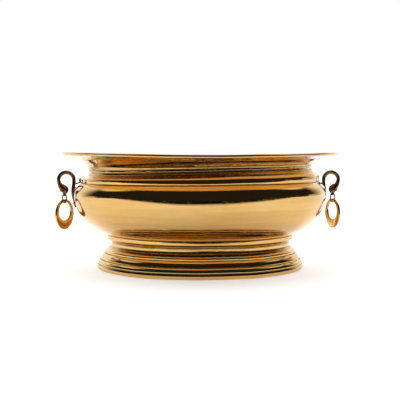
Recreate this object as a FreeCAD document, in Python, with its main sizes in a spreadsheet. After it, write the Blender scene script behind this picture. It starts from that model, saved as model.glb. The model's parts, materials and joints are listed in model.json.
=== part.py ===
import FreeCAD, Part
import math
import os

import Sketcher

# Brass urli bowl: a wide round bowl on a stepped pedestal foot, with a swan-neck handle at each
# side. A link hangs in each swan's bill and a crescent ring hangs in each link.
#
# Frame: millimetres, +Z up, origin on the bowl's axis in the plane of the foot's underside.
# The handles lie on the X axis: "right" is +X and "left" is -X.

doc = FreeCAD.newDocument("urli_bowl")
V = FreeCAD.Vector

# ------------------------------------------------------------------------------------------
# Driving dimensions
# ------------------------------------------------------------------------------------------

SIZES = [
    ("wall_thickness", 3.0, "cast wall of bowl, collar and foot"),
    # rim collar
    ("rim_radius", 216.0, "outer edge of the rim"),
    ("rim_top_height", 179.0, "top of the rim's lip"),
    ("lip_thickness", 5.0, "height of the rounded lip"),
    ("flange_edge_height", 173.9, "underside of the flange beside the lip"),
    ("flange_root_radius", 193.0, "where the flange turns down to the neck"),
    ("flange_root_height", 171.0, "underside of the flange at its root"),
    ("throat_top_radius", 186.0, "top of the sloping throat"),
    ("throat_top_height", 168.3, "top of the sloping throat"),
    ("throat_foot_radius", 176.4, "foot of the sloping throat"),
    ("throat_foot_height", 161.3, "foot of the sloping throat"),
    ("neck_radius", 174.0, "outside of the neck, its narrowest place"),
    ("neck_top_height", 157.5, "top of the neck's straight band"),
    ("seam_height", 153.5, "joint between collar and bowl"),
    ("seam_bead_radius", 1.2, "half-round bead just above the joint"),
    ("lip_fall", 0.6, "slope of the lip's top towards the inside"),
    ("lip_inner_width", 3.2, "inner slope of the lip"),
    ("lip_inner_step", 2.0, "short drop from the lip to the flange's inside"),
    ("lip_root_width", 1.5, "run from the flange's underside up to the lip"),
    ("flange_edge_wall", 2.6, "flange beside the lip, measured upwards"),
    ("flange_root_wall", 3.0, "flange at its root, measured upwards"),
    ("flange_root_inset", 0.6, "inside of the flange's root, measured inwards"),
    ("throat_wall_across", 1.8, "sloping throat, measured inwards"),
    ("throat_wall_up", 2.4, "sloping throat, measured upwards"),
    ("throat_lower_curve", 6.0, "curve from the neck into the throat"),
    ("throat_upper_curve", 14.0, "curve from the throat into the flange"),
    ("throat_inner_curve", 9.0, "inside of the throat's lower curve"),
    ("flange_inner_curve", 17.0, "inside of the flange's curve"),
    # shoulder and belly
    ("neck_foot_height", 150.8, "where the neck starts to flare out"),
    ("flare_radius", 181.0, "end of the flare"),
    ("flare_height", 145.9, "end of the flare"),
    ("flare_curve", 8.4, "curve of the flare"),
    ("flare_inner_curve", 11.4, "inside of the flare's curve"),
    ("flare_inset", 1.6, "inside of the flare's end, measured inwards"),
    ("flare_drop", 2.6, "inside of the flare's end, measured downwards"),
    ("riser_inner_drop", 0.8, "inside of the upright band, below its outside top"),
    ("neck_inner_drop", 0.3, "inside of the neck's foot, below its outside"),
    ("shoulder_edge_curve", 2.4, "rounded edge of the shoulder"),
    ("shoulder_edge_radius", 184.6, "start of the shoulder's rounded edge"),
    ("shoulder_edge_height", 143.7, "start of the shoulder's rounded edge"),
    ("riser_radius", 186.6, "upright band under the shoulder"),
    ("riser_top_height", 141.2, "top of the upright band"),
    ("riser_foot_height", 135.6, "foot of the upright band"),
    ("crease_depth", 1.0, "groove between the band and the belly"),
    ("crease_height", 134.6, "bottom of the groove"),
    ("belly_top_height", 133.6, "where the belly starts under the groove"),
    ("belly_radius", 197.5, "widest part of the belly"),
    ("belly_height", 116.0, "height of the widest part"),
    ("belly_upper_curve", 20.5, "radius of the belly above its widest part"),
    ("belly_lower_curve", 56.0, "radius of the belly below its widest part"),
    ("belly_lower_turn", 50.0, "degrees that the lower curve turns"),
    ("belly_underside_curve", 139.0, "radius of the belly's run in to the foot"),
    ("dish_radius", 147.9, "outer edge of the dished bottom"),
    ("dish_curve", 350.0, "radius of the dished bottom"),
    ("dish_height", 21.5, "lowest point of the dished bottom's outside"),
    # pedestal foot
    ("collar_radius", 146.6, "upright collar under the belly"),
    ("collar_foot_height", 48.0, "foot of the collar"),
    ("foot_bore_radius", 137.6, "inside of the foot's upper part"),
    ("waist_radius", 140.8, "narrow waist under the collar"),
    ("waist_top_height", 42.3, "top of the waist"),
    ("waist_foot_height", 37.2, "foot of the waist"),
    ("first_ring_radius", 150.3, "first moulding"),
    ("first_ring_top", 28.6, "top of the first moulding's upright edge"),
    ("first_ring_foot", 26.3, "foot of the first moulding"),
    ("second_ring_radius", 156.7, "second moulding"),
    ("second_ring_top", 17.6, "top of the second moulding's upright edge"),
    ("second_ring_foot", 16.6, "foot of the second moulding"),
    ("third_ring_radius", 160.9, "third moulding"),
    ("third_ring_foot", 9.4, "foot of the third moulding"),
    ("base_radius", 162.1, "widest part of the base bead"),
    ("base_bead_height", 4.3, "height of the base bead's widest part"),
    ("base_sole_outer", 160.0, "outer edge of the flat underside"),
    ("base_sole_inner", 156.8, "inner edge of the flat underside"),
    ("groove_depth", 0.4, "fine grooves between the mouldings"),
    ("collar_step", 0.8, "bevel under the upright collar, measured inwards"),
    ("collar_step_fall", 1.1, "bevel under the upright collar, measured downwards"),
    ("waist_bevel", 0.7, "bevel at the top of the waist"),
    ("waist_curve", 5.2, "cove under the waist"),
    ("cove_width", 3.8, "cove under the waist, measured outwards"),
    ("cove_fall", 4.5, "cove under the waist, measured downwards"),
    ("first_ring_shoulder", 2.0, "shoulder of the first moulding, measured inwards"),
    ("first_ring_rise", 2.2, "shoulder of the first moulding, measured upwards"),
    ("first_ring_curve", 2.4, "shoulder of the first moulding"),
    ("upper_step_curve", 13.0, "quarter round between first and second moulding"),
    ("lower_step_curve", 8.0, "quarter round between second and third moulding"),
    ("third_ring_edge", 0.8, "upright edge of the third moulding"),
    ("base_groove_fall", 0.6, "groove above the base bead, measured downwards"),
    ("base_bead_curve", 5.0, "base bead"),
    ("base_inner_rise", 1.5, "inside of the base, above the bead's widest part"),
    ("lower_wall_extra", 0.3, "extra wall behind the second moulding"),
    ("upper_wall_extra", 0.5, "extra wall behind the first moulding"),
    ("bore_foot_drop", 0.7, "foot of the upper bore, below the waist"),
    # swan-neck handles
    ("loop_centre_radius", 209.8, "centre of the neck's loop, from the bowl's axis"),
    ("loop_centre_height", 138.0, "centre of the neck's loop"),
    ("loop_radius", 11.8, "centre line of the neck's loop"),
    ("neck_wire_radius", 2.9, "thickness of the swan's neck, as a radius"),
    ("leaf_width", 15.0, "widest part of the leaf plate on the belly"),
    ("leaf_thickness", 2.6, "leaf plate"),
    ("leaf_top_height", 127.0, "upper point of the leaf"),
    ("leaf_foot_height", 95.0, "lower point of the leaf"),
    ("pad_radius", 3.5, "round pad against the upright band"),
    ("pad_thickness", 2.4, "round pad"),
    ("pad_height", 137.5, "centre of the pad"),
    ("arm_radius", 1.1, "arm between the pad and the neck"),
    ("arm_start_height", 134.4, "arm where it leaves the pad"),
    ("arm_end_height", 131.0, "arm where it meets the neck"),
    ("eye_radius", 3.3, "round eye at the tip of the bill"),
    ("eye_bore_radius", 1.8, "bore of the eye"),
    ("eye_thickness", 3.0, "flat thickness of the eye"),
    ("hang_radius", 212.7, "eye, link and ring hang at this distance from the axis"),
    ("eye_height", 115.35, "centre of the eye"),
    ("hang_twist_left", 29.5, "degrees that the left link and ring are turned from square"),
    ("hang_twist_right", 14.5, "degrees that the right link and ring are turned from square"),
    # links and rings
    ("link_wire_radius", 1.0, "wire of the link"),
    ("link_bend_radius", 3.75, "centre line of the link's round ends"),
    ("link_length", 13.45, "centre line of the link, top to bottom"),
    ("ring_radius", 23.85, "outside of the ring"),
    ("ring_thickness", 4.4, "ring, along its own axis"),
    ("ring_edge_round", 2.0, "rounding of the ring's edges"),
    ("ring_top_width", 4.8, "width of the ring where it hangs"),
    ("ring_bore_half_width", 16.6, "half width of the ring's opening"),
    ("ring_bore_half_height", 14.25, "half height of the ring's opening"),
    ("ring_seat_radius", 2.3, "round seat worn where the ring hangs in its link"),
    ("ring_seat_length", 5.0, "round seat"),
    # rivets and roves
    ("rivet_radius", 1.4, "shank of a rivet"),
    ("rivet_bore_radius", 1.45, "hole for a rivet"),
    ("rivet_head_radius", 2.0, "outer head of a rivet"),
    ("rivet_head_height", 1.5, "outer head of a rivet"),
    ("rivet_tail_radius", 2.0, "hammered end inside the bowl"),
    ("rivet_tail_height", 1.3, "hammered end inside the bowl"),
    ("rove_radius", 2.9, "washer under the hammered end"),
    ("rove_thickness", 1.2, "washer under the hammered end"),
    ("upper_rivet_height", 137.3, "height of the upper rivet on the upright band"),
    ("lower_rivet_height", 102.0, "height of the lower rivet on the belly"),
    ("fit_gap", 0.05, "gap between a casting and the surface it is fitted to"),
    ("seat_gap", 0.15, "flat washer's gap to the curved wall at its middle"),
]

sizes = doc.addObject("Spreadsheet::Sheet", "sizes")
for row, (alias, value, meaning) in enumerate(SIZES, start=1):
    sizes.set("A%d" % row, alias)
    sizes.set("B%d" % row, str(value))
    sizes.set("C%d" % row, meaning)
    sizes.setAlias("B%d" % row, alias)
doc.recompute()


def size(alias):
    """A driving dimension as a number."""
    return float(sizes.get(alias))



# ------------------------------------------------------------------------------------------
# Sketch helpers
# ------------------------------------------------------------------------------------------

def origin_plane(body, role):
    """One of a body's own origin planes."""
    for feature in body.Origin.OriginFeatures:
        if feature.Role == role:
            return feature
    raise ValueError("no origin plane " + role)


def new_sketch(body, name, role):
    """An empty sketch on one of the body's origin planes."""
    sketch = body.newObject("Sketcher::SketchObject", name)
    sketch.AttachmentSupport = [(origin_plane(body, role), "")]
    sketch.MapMode = "FlatFace"
    return sketch


def bind(sketch, constraint, expression):
    """Add a dimension to a sketch and tie it to the sheet."""
    index = sketch.addConstraint(constraint)
    name = "size_%d" % index
    sketch.renameConstraint(index, name)
    sketch.setExpression("Constraints." + name, expression)


def arc_between(start, end, radius, bulge):
    """Arc from start to end; bulge +1 turns left on the way, -1 turns right."""
    chord = end - start
    middle = (start + end) * 0.5
    reach = math.sqrt(radius ** 2 - (chord.Length / 2) ** 2)
    left = V(-chord.y, chord.x, 0)
    left.normalize()
    centre = middle + left * (reach * bulge)
    first, last = (start, end) if bulge > 0 else (end, start)
    a = math.atan2(first.y - centre.y, first.x - centre.x)
    b = math.atan2(last.y - centre.y, last.x - centre.x)
    if b < a:
        b += 2 * math.pi
    return Part.ArcOfCircle(Part.Circle(centre, V(0, 0, 1), radius), a, b)


def draw_outline(sketch, outline):
    """Closed outline. Each entry is a corner (radius, height) and, where the way to the next
    corner is an arc, that arc's radius and the side it bulges to. All are expressions."""
    full = [tuple(entry) + (None, 0) * (len(entry) == 2) for entry in outline]
    corners = [V(sketch.evalExpression(x), sketch.evalExpression(z), 0) for x, z, _, _ in full]
    ends = []
    for i, (_, _, radius, bulge) in enumerate(full):
        start = corners[i]
        end = corners[(i + 1) % len(corners)]
        if radius is None:
            edge = sketch.addGeometry(Part.LineSegment(start, end))
            ends.append((edge, 1, 2))
        else:
            arc = arc_between(start, end, sketch.evalExpression(radius), bulge)
            edge = sketch.addGeometry(arc)
            ends.append((edge, 1, 2) if bulge > 0 else (edge, 2, 1))
    for i, (edge, _, last) in enumerate(ends):
        following, first, _ = ends[(i + 1) % len(ends)]
        sketch.addConstraint(Sketcher.Constraint("Coincident", edge, last, following, first))
    for i, (x, z, radius, _) in enumerate(full):
        edge, first, _ = ends[i]
        if x == "0":
            sketch.addConstraint(Sketcher.Constraint("PointOnObject", edge, first, -2))
        else:
            bind(sketch, Sketcher.Constraint("DistanceX", edge, first, corners[i].x), x)
        if z == "0":
            sketch.addConstraint(Sketcher.Constraint("PointOnObject", edge, first, -1))
        else:
            bind(sketch, Sketcher.Constraint("DistanceY", edge, first, corners[i].y), z)
        if radius is not None:
            value = sketch.evalExpression(radius)
            bind(sketch, Sketcher.Constraint("Radius", edge, value), radius)


def turned_body(label, outline):
    """A body turned about the bowl's axis from an outline of (radius, height) corners."""
    body = doc.addObject("PartDesign::Body", label)
    body.Label = label
    sketch = new_sketch(body, label + "_outline", "XZ_Plane")
    draw_outline(sketch, outline)
    doc.recompute()
    turned = body.newObject("PartDesign::Revolution", label + "_turned")
    turned.Profile = (sketch, [""])
    turned.ReferenceAxis = (sketch, ["V_Axis"])
    turned.Angle = 360
    body.Tip = turned
    doc.recompute()
    return body


# ------------------------------------------------------------------------------------------
# Rim collar: lip, flange, throat and neck
# ------------------------------------------------------------------------------------------

NECK_INSIDE = "sizes.neck_radius - sizes.wall_thickness"
LIP_ROUND = "sizes.lip_thickness/2"


def make_rim_collar():
    """Flared collar brazed on top of the bowl; its joint is covered by a small bead."""
    lip_root = "sizes.rim_radius - sizes.lip_thickness/2"
    lip_foot = "sizes.rim_top_height - sizes.lip_thickness"
    return turned_body("rim_collar", [
        (NECK_INSIDE, "sizes.seam_height"),
        ("sizes.neck_radius", "sizes.seam_height", "sizes.seam_bead_radius", 1),
        ("sizes.neck_radius", "sizes.seam_height + sizes.seam_bead_radius*1.8"),
        ("sizes.neck_radius", "sizes.neck_top_height", "sizes.throat_lower_curve", -1),
        ("sizes.throat_foot_radius", "sizes.throat_foot_height"),
        ("sizes.throat_top_radius", "sizes.throat_top_height", "sizes.throat_upper_curve", -1),
        ("sizes.flange_root_radius", "sizes.flange_root_height"),
        (lip_root + " - sizes.lip_root_width", "sizes.flange_edge_height"),
        (lip_root, lip_foot, LIP_ROUND, 1),
        ("sizes.rim_radius", "sizes.rim_top_height - " + LIP_ROUND, LIP_ROUND, 1),
        (lip_root, "sizes.rim_top_height"),
        (lip_root + " - sizes.lip_inner_width", "sizes.rim_top_height - sizes.lip_fall"),
        (lip_root + " - sizes.lip_inner_width - sizes.lip_inner_step",
         "sizes.flange_edge_height + sizes.flange_edge_wall"),
        ("sizes.flange_root_radius - sizes.flange_root_inset",
         "sizes.flange_root_height + sizes.flange_root_wall", "sizes.flange_inner_curve", 1),
        ("sizes.throat_top_radius - sizes.throat_wall_across",
         "sizes.throat_top_height + sizes.throat_wall_up"),
        ("sizes.throat_foot_radius - sizes.throat_wall_across",
         "sizes.throat_foot_height + sizes.throat_wall_up", "sizes.throat_inner_curve", 1),
        (NECK_INSIDE, "sizes.neck_top_height"),
    ])


# ------------------------------------------------------------------------------------------
# Seats of the rivets on the bowl's outside
# ------------------------------------------------------------------------------------------

def belly_point(height, proud=0.0):
    """Point of the belly's outside at a height, moved out along its normal."""
    above = height > size("belly_height")
    curve = size("belly_upper_curve") if above else size("belly_lower_curve")
    slope = math.asin((height - size("belly_height")) / curve)
    centre = V(size("belly_radius") - curve, 0, size("belly_height"))
    return centre + V(math.cos(slope), 0, math.sin(slope)) * (curve + proud)


def seat_placement(point, slope):
    """Placement whose own Z leaves the bowl at a point of the right-hand side."""
    return FreeCAD.Placement(point, FreeCAD.Rotation(V(0, 1, 0), 90 - math.degrees(slope)))


LOWER_SLOPE = math.asin((size("lower_rivet_height") - size("belly_height"))
                        / size("belly_lower_curve"))
UPPER_SEAT = seat_placement(V(size("riser_radius"), 0, size("upper_rivet_height")), 0.0)
LOWER_SEAT = seat_placement(belly_point(size("lower_rivet_height")), LOWER_SLOPE)
SIDES = {"right": FreeCAD.Placement(),
         "left": FreeCAD.Placement(V(0, 0, 0), FreeCAD.Rotation(V(0, 0, 1), 180))}


def lifted(seat, distance):
    """The same seat, moved out along its own Z."""
    return seat * FreeCAD.Placement(V(0, 0, distance), FreeCAD.Rotation())


# ------------------------------------------------------------------------------------------
# Bowl body: shoulder, belly and dished bottom
# ------------------------------------------------------------------------------------------

BELLY_AXIS = "(sizes.belly_radius - sizes.belly_upper_curve)"
LOWER_AXIS = "(sizes.belly_radius - sizes.belly_lower_curve)"
LOWER_TURN = "(sizes.belly_lower_turn*1 deg)"
DISH_AXIS = "(sizes.dish_height + sizes.dish_curve)"
DISH_EDGE = DISH_AXIS + " - sqrt(pow(sizes.dish_curve; 2) - pow(sizes.dish_radius; 2))"
BELLY_TOP_RADIUS = (BELLY_AXIS + " + sqrt(pow(sizes.belly_upper_curve; 2)"
                    " - pow(sizes.belly_top_height - sizes.belly_height; 2))")


def belly_outline():
    """Outside of the bowl from the seam down to the middle of the dished bottom."""
    return [
        ("sizes.neck_radius", "sizes.neck_foot_height", "sizes.flare_curve", 1),
        ("sizes.flare_radius", "sizes.flare_height"),
        ("sizes.shoulder_edge_radius", "sizes.shoulder_edge_height",
         "sizes.shoulder_edge_curve", -1),
        ("sizes.riser_radius", "sizes.riser_top_height"),
        ("sizes.riser_radius", "sizes.riser_foot_height"),
        ("sizes.riser_radius - sizes.crease_depth", "sizes.crease_height"),
        (BELLY_TOP_RADIUS, "sizes.belly_top_height", "sizes.belly_upper_curve", -1),
        ("sizes.belly_radius", "sizes.belly_height", "sizes.belly_lower_curve", -1),
        (LOWER_AXIS + " + sizes.belly_lower_curve*cos(" + LOWER_TURN + ")",
         "sizes.belly_height - sizes.belly_lower_curve*sin(" + LOWER_TURN + ")",
         "sizes.belly_underside_curve", -1),
        ("sizes.dish_radius", DISH_EDGE, "sizes.dish_curve", -1),
    ]


def drill_pair(body, name, seat):
    """A rivet hole through the wall at a seat and its twin on the other side."""
    depth = size("wall_thickness") * 3
    drill = body.newObject("PartDesign::SubtractiveCylinder", name + "_rivet_hole")
    drill.setExpression("Radius", "sizes.rivet_bore_radius")
    drill.setExpression("Height", "sizes.wall_thickness*3")
    drill.Placement = lifted(seat, -depth * 2 / 3)
    doc.recompute()
    pair = body.newObject("PartDesign::PolarPattern", name + "_rivet_holes")
    pair.Originals = [drill]
    pair.Axis = (origin_plane(body, "Z_Axis"), [""])
    pair.Angle = 360
    pair.Occurrences = 2
    body.Tip = pair
    doc.recompute()
    for side in SIDES.values():
        mid_wall = (side * lifted(seat, -size("wall_thickness") / 2)).Base
        if body.Shape.isInside(mid_wall, 1e-3, True):
            raise ValueError(name + " rivet hole does not go through the wall")


def make_bowl_body():
    """Thin shell; its inside runs one wall thickness in from the outside."""
    wall = "sizes.wall_thickness"
    upper = "(sizes.belly_upper_curve - " + wall + ")"
    lower = "(sizes.belly_lower_curve - " + wall + ")"
    riser = "(sizes.riser_radius - " + wall + ")"
    dish = "(sizes.dish_curve - " + wall + ")"
    dish_edge = "(sizes.dish_radius*" + dish + "/sizes.dish_curve)"
    inside = [
        ("0", "sizes.dish_height + " + wall, dish, 1),
        (dish_edge, DISH_AXIS + " - sqrt(pow(" + dish + "; 2) - pow(" + dish_edge + "; 2))",
         "sizes.belly_underside_curve - " + wall, 1),
        (LOWER_AXIS + " + " + lower + "*cos(" + LOWER_TURN + ")",
         "sizes.belly_height - " + lower + "*sin(" + LOWER_TURN + ")", lower, 1),
        ("sizes.belly_radius - " + wall, "sizes.belly_height", upper, 1),
        (riser, "sizes.belly_height + sqrt(pow(" + upper + "; 2) - pow("
         + riser + " - " + BELLY_AXIS + "; 2))"),
        (riser, "sizes.riser_top_height - sizes.riser_inner_drop"),
        ("sizes.flare_radius - sizes.flare_inset", "sizes.flare_height - sizes.flare_drop",
         "sizes.flare_inner_curve", -1),
        (NECK_INSIDE, "sizes.neck_foot_height - sizes.neck_inner_drop"),
        (NECK_INSIDE, "sizes.seam_height"),
    ]
    outside = [("sizes.neck_radius", "sizes.seam_height")] + belly_outline()
    body = turned_body("bowl_body", outside + [("0", "sizes.dish_height")] + inside)
    for name, seat in (("upper", UPPER_SEAT), ("lower", LOWER_SEAT)):
        drill_pair(body, name, seat)
    return body


# ------------------------------------------------------------------------------------------
# Pedestal foot
# ------------------------------------------------------------------------------------------

def make_foot_pedestal():
    """Hollow stepped foot; its top edge fits the dished bottom of the bowl."""
    def on_dish(radius):
        return DISH_AXIS + " - sqrt(pow(sizes.dish_curve; 2) - pow(" + radius + "; 2))"

    groove = "sizes.groove_depth"
    return turned_body("foot_pedestal", [
        ("sizes.foot_bore_radius", on_dish("sizes.foot_bore_radius"), "sizes.dish_curve", 1),
        ("sizes.collar_radius", on_dish("sizes.collar_radius")),
        ("sizes.collar_radius", "sizes.collar_foot_height"),
        ("sizes.collar_radius - sizes.collar_step",
         "sizes.collar_foot_height - sizes.collar_step_fall"),
        ("sizes.waist_radius + sizes.waist_bevel", "sizes.waist_top_height + sizes.waist_bevel"),
        ("sizes.waist_radius", "sizes.waist_top_height - sizes.waist_bevel"),
        ("sizes.waist_radius", "sizes.waist_foot_height", "sizes.waist_curve", 1),
        ("sizes.waist_radius + sizes.cove_width", "sizes.waist_foot_height - sizes.cove_fall"),
        ("sizes.first_ring_radius - sizes.first_ring_shoulder",
         "sizes.first_ring_top + sizes.first_ring_rise", "sizes.first_ring_curve", -1),
        ("sizes.first_ring_radius", "sizes.first_ring_top"),
        ("sizes.first_ring_radius", "sizes.first_ring_foot"),
        ("sizes.first_ring_radius - " + groove, "sizes.first_ring_foot - " + groove,
         "sizes.upper_step_curve", -1),
        ("sizes.second_ring_radius", "sizes.second_ring_top"),
        ("sizes.second_ring_radius", "sizes.second_ring_foot"),
        ("sizes.second_ring_radius - " + groove, "sizes.second_ring_foot - " + groove,
         "sizes.lower_step_curve", -1),
        ("sizes.third_ring_radius", "sizes.third_ring_foot + sizes.third_ring_edge"),
        ("sizes.third_ring_radius", "sizes.third_ring_foot"),
        ("sizes.third_ring_radius - " + groove,
         "sizes.third_ring_foot - sizes.base_groove_fall", "sizes.base_bead_curve", -1),
        ("sizes.base_radius", "sizes.base_bead_height", "sizes.base_bead_curve", -1),
        ("sizes.base_sole_outer", "0"),
        ("sizes.base_sole_inner", "0"),
        ("sizes.base_sole_inner", "sizes.base_bead_height + sizes.base_inner_rise"),
        ("sizes.second_ring_radius - sizes.wall_thickness - sizes.lower_wall_extra",
         "sizes.second_ring_foot"),
        ("sizes.first_ring_radius - sizes.wall_thickness - sizes.upper_wall_extra",
         "sizes.first_ring_foot"),
        ("sizes.foot_bore_radius", "sizes.waist_foot_height - sizes.bore_foot_drop"),
    ])


# ------------------------------------------------------------------------------------------
# Swan-neck handles: neck, head, bill eye, leaf plate, arm and pad as one casting
# ------------------------------------------------------------------------------------------

# Oval sections as (distance from the bowl's axis, height, half width, half depth). The lower
# neck rises from a thin tail on the leaf to the loop, and the head runs from the end of the
# loop down to the root of the bill.
LOWER_NECK_SECTIONS = [
    (198.3, 106.8, 1.2, 1.2),
    (199.3, 109.5, 1.6, 1.6),
    (200.0, 114.5, 2.0, 2.1),
    (199.8, 121.0, 2.3, 2.4),
    (198.3, 129.5, 2.7, 2.7),
]
HEAD_SECTIONS = [
    (219.0, 129.9, 4.1, 3.5),
    (215.3, 125.9, 6.1, 4.4),
    (212.5, 122.0, 7.0, 4.9),
    (211.7, 119.2, 4.6, 3.9),
    (212.3, 117.3, 2.4, 2.4),
]
LOOP_START = 180    # degrees, where the lower neck runs into the loop
LOOP_END = -15    # degrees, where the loop runs into the head
LOOP_STEP = 39    # degrees between sections of the loop
LEAF_SPREAD = 6.0    # degrees each side of the handle, wider than the leaf
CASTING_SHARE = 0.85    # least volume of the fused casting, as a share of its pieces' sum


def loop_sections():
    """Round sections of the neck's loop, from the lower neck over to the head."""
    thick = size("neck_wire_radius")
    sections = []
    for angle in range(LOOP_START, LOOP_END - 1, -LOOP_STEP):
        turn = math.radians(angle)
        sections.append((size("loop_centre_radius") + size("loop_radius") * math.cos(turn),
                         size("loop_centre_height") + size("loop_radius") * math.sin(turn),
                         thick, thick))
    return sections


def oval_loft(sections):
    """Smooth solid through oval sections that stand square to their line of centres."""
    centres = [V(x, 0, z) for x, z, _, _ in sections]
    unit_circle = Part.Circle().toShape().toNurbs()
    ovals = []
    for i, (_, _, half_width, half_depth) in enumerate(sections):
        along = centres[min(i + 1, len(centres) - 1)] - centres[max(i - 1, 0)]
        along.normalize()
        side = V(0, 1, 0)
        across = along.cross(side)
        place = FreeCAD.Matrix(across.x * half_width, side.x * half_depth, along.x, centres[i].x,
                               across.y * half_width, side.y * half_depth, along.y, centres[i].y,
                               across.z * half_width, side.z * half_depth, along.z, centres[i].z)
        ovals.append(Part.Wire(unit_circle.transformGeometry(place).Edges))
    return Part.makeLoft(ovals, True, False)


def leaf_plate():
    """Pointed leaf that follows the belly's curve, its back a hair off the surface."""
    top = size("leaf_top_height")
    foot = size("leaf_foot_height")
    widest = size("belly_height")
    skin = size("leaf_thickness")
    back = size("fit_gap")

    def run(low, high, proud):
        return Part.Arc(belly_point(low, proud), belly_point((low + high) / 2, proud),
                        belly_point(high, proud)).toShape()

    band = Part.Face(Part.Wire([
        run(foot, widest, back), run(widest, top, back),
        Part.makeLine(belly_point(top, back), belly_point(top, skin)),
        run(widest, top, skin), run(foot, widest, skin),
        Part.makeLine(belly_point(foot, skin), belly_point(foot, back)),
    ]))
    band.rotate(V(0, 0, 0), V(0, 0, 1), -LEAF_SPREAD)
    shell = band.revolve(V(0, 0, 0), V(0, 0, 1), 2 * LEAF_SPREAD)
    inner = size("belly_radius") - 4 * skin
    middle = (top + foot) / 2
    half = size("leaf_width") / 2
    points = [V(inner, 0, foot), V(inner, 0, top)]
    sides = [Part.Arc(points[0], V(inner, side * half, middle), points[1]).toShape()
             for side in (1, -1)]
    leaf = Part.Face(Part.Wire(sides)).extrude(V(8 * skin, 0, 0))
    return shell.common(leaf).Solids[0]


def swan_handle(twist):
    """One right-hand handle; the eye of its bill is turned by twist degrees."""
    back = size("riser_radius") + size("fit_gap")
    pad = Part.makeCylinder(size("pad_radius"), size("pad_thickness") - 2 * size("fit_gap"),
                            V(back, 0, size("pad_height")), V(1, 0, 0))
    arm_start = V(back + size("pad_thickness") / 2, 0, size("arm_start_height"))
    arm_end = V(size("loop_centre_radius") - size("loop_radius"), 0, size("arm_end_height"))
    arm_line = arm_end - arm_start
    arm = Part.makeCylinder(size("arm_radius"), arm_line.Length, arm_start, arm_line)
    turn = math.radians(twist)
    eye_axis = V(math.cos(turn), math.sin(turn), 0)
    eye_centre = V(size("hang_radius"), 0, size("eye_height"))
    thick = size("eye_thickness")
    eye = Part.makeCylinder(size("eye_radius"), thick, eye_centre - eye_axis * (thick / 2),
                            eye_axis)
    swan = oval_loft(LOWER_NECK_SECTIONS + loop_sections() + HEAD_SECTIONS)
    pieces = [swan, leaf_plate().toNurbs(), pad, arm, eye]
    casting = pieces[0].fuse(pieces[1:])
    if casting.Volume < CASTING_SHARE * sum(piece.Volume for piece in pieces):
        raise ValueError("a piece of the handle is missing from the casting")
    bore = Part.makeCylinder(size("eye_bore_radius"), 3 * thick,
                             eye_centre - eye_axis * (1.5 * thick), eye_axis)
    holes = [bore]
    for seat, plate in ((UPPER_SEAT, "pad_thickness"), (LOWER_SEAT, "leaf_thickness")):
        hole = Part.makeCylinder(size("rivet_bore_radius"), size(plate) + 2)
        hole.Placement = lifted(seat, -1)
        holes.append(hole)
    return casting.cut(holes)


# ------------------------------------------------------------------------------------------
# Links and rings
# ------------------------------------------------------------------------------------------

def turned_about(angle, point):
    """Placement at a point, turned about the upright."""
    return FreeCAD.Placement(point, FreeCAD.Rotation(V(0, 0, 1), angle))


def make_link(side):
    """Closed oval of round wire, its plane across the ring's."""
    label = "hanging_link_" + side
    body = doc.addObject("PartDesign::Body", label)
    body.Label = label
    bend = size("link_bend_radius")
    leg = (size("link_length") - 2 * bend) / 2
    path = new_sketch(body, label + "_path", "XZ_Plane")
    path.addGeometry([
        Part.LineSegment(V(bend, -leg, 0), V(bend, leg, 0)),
        Part.ArcOfCircle(Part.Circle(V(0, leg, 0), V(0, 0, 1), bend), 0, math.pi),
        Part.LineSegment(V(-bend, leg, 0), V(-bend, -leg, 0)),
        Part.ArcOfCircle(Part.Circle(V(0, -leg, 0), V(0, 0, 1), bend), math.pi, 2 * math.pi),
    ])
    for first, second in ((0, 1), (1, 2), (2, 3), (3, 0)):
        path.addConstraint(Sketcher.Constraint("Tangent", first, 2, second, 1))
    path.addConstraint(Sketcher.Constraint("Vertical", 0))
    path.addConstraint(Sketcher.Constraint("Equal", 1, 3))
    path.addConstraint(Sketcher.Constraint("Symmetric", 1, 3, 3, 3, -1, 1))
    bind(path, Sketcher.Constraint("Radius", 1, bend), "sizes.link_bend_radius")
    bind(path, Sketcher.Constraint("DistanceY", 1, 3, leg),
         "sizes.link_length/2 - sizes.link_bend_radius")
    wire = new_sketch(body, label + "_wire", "XY_Plane")
    wire.addGeometry(Part.Circle(V(bend, 0, 0), V(0, 0, 1), size("link_wire_radius")))
    wire.addConstraint(Sketcher.Constraint("PointOnObject", 0, 3, -1))
    bind(wire, Sketcher.Constraint("DistanceX", 0, 3, bend), "sizes.link_bend_radius")
    bind(wire, Sketcher.Constraint("Radius", 0, size("link_wire_radius")),
         "sizes.link_wire_radius")
    doc.recompute()
    pipe = body.newObject("PartDesign::AdditivePipe", label + "_bent")
    pipe.Profile = (wire, [""])
    pipe.Spine = (path, [""])
    body.Tip = pipe
    middle = V(size("hang_radius"), 0, size("eye_height") - size("link_length") / 2)
    body.Placement = SIDES[side] * turned_about(hang_turn(side), middle)
    doc.recompute()
    return body


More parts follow.
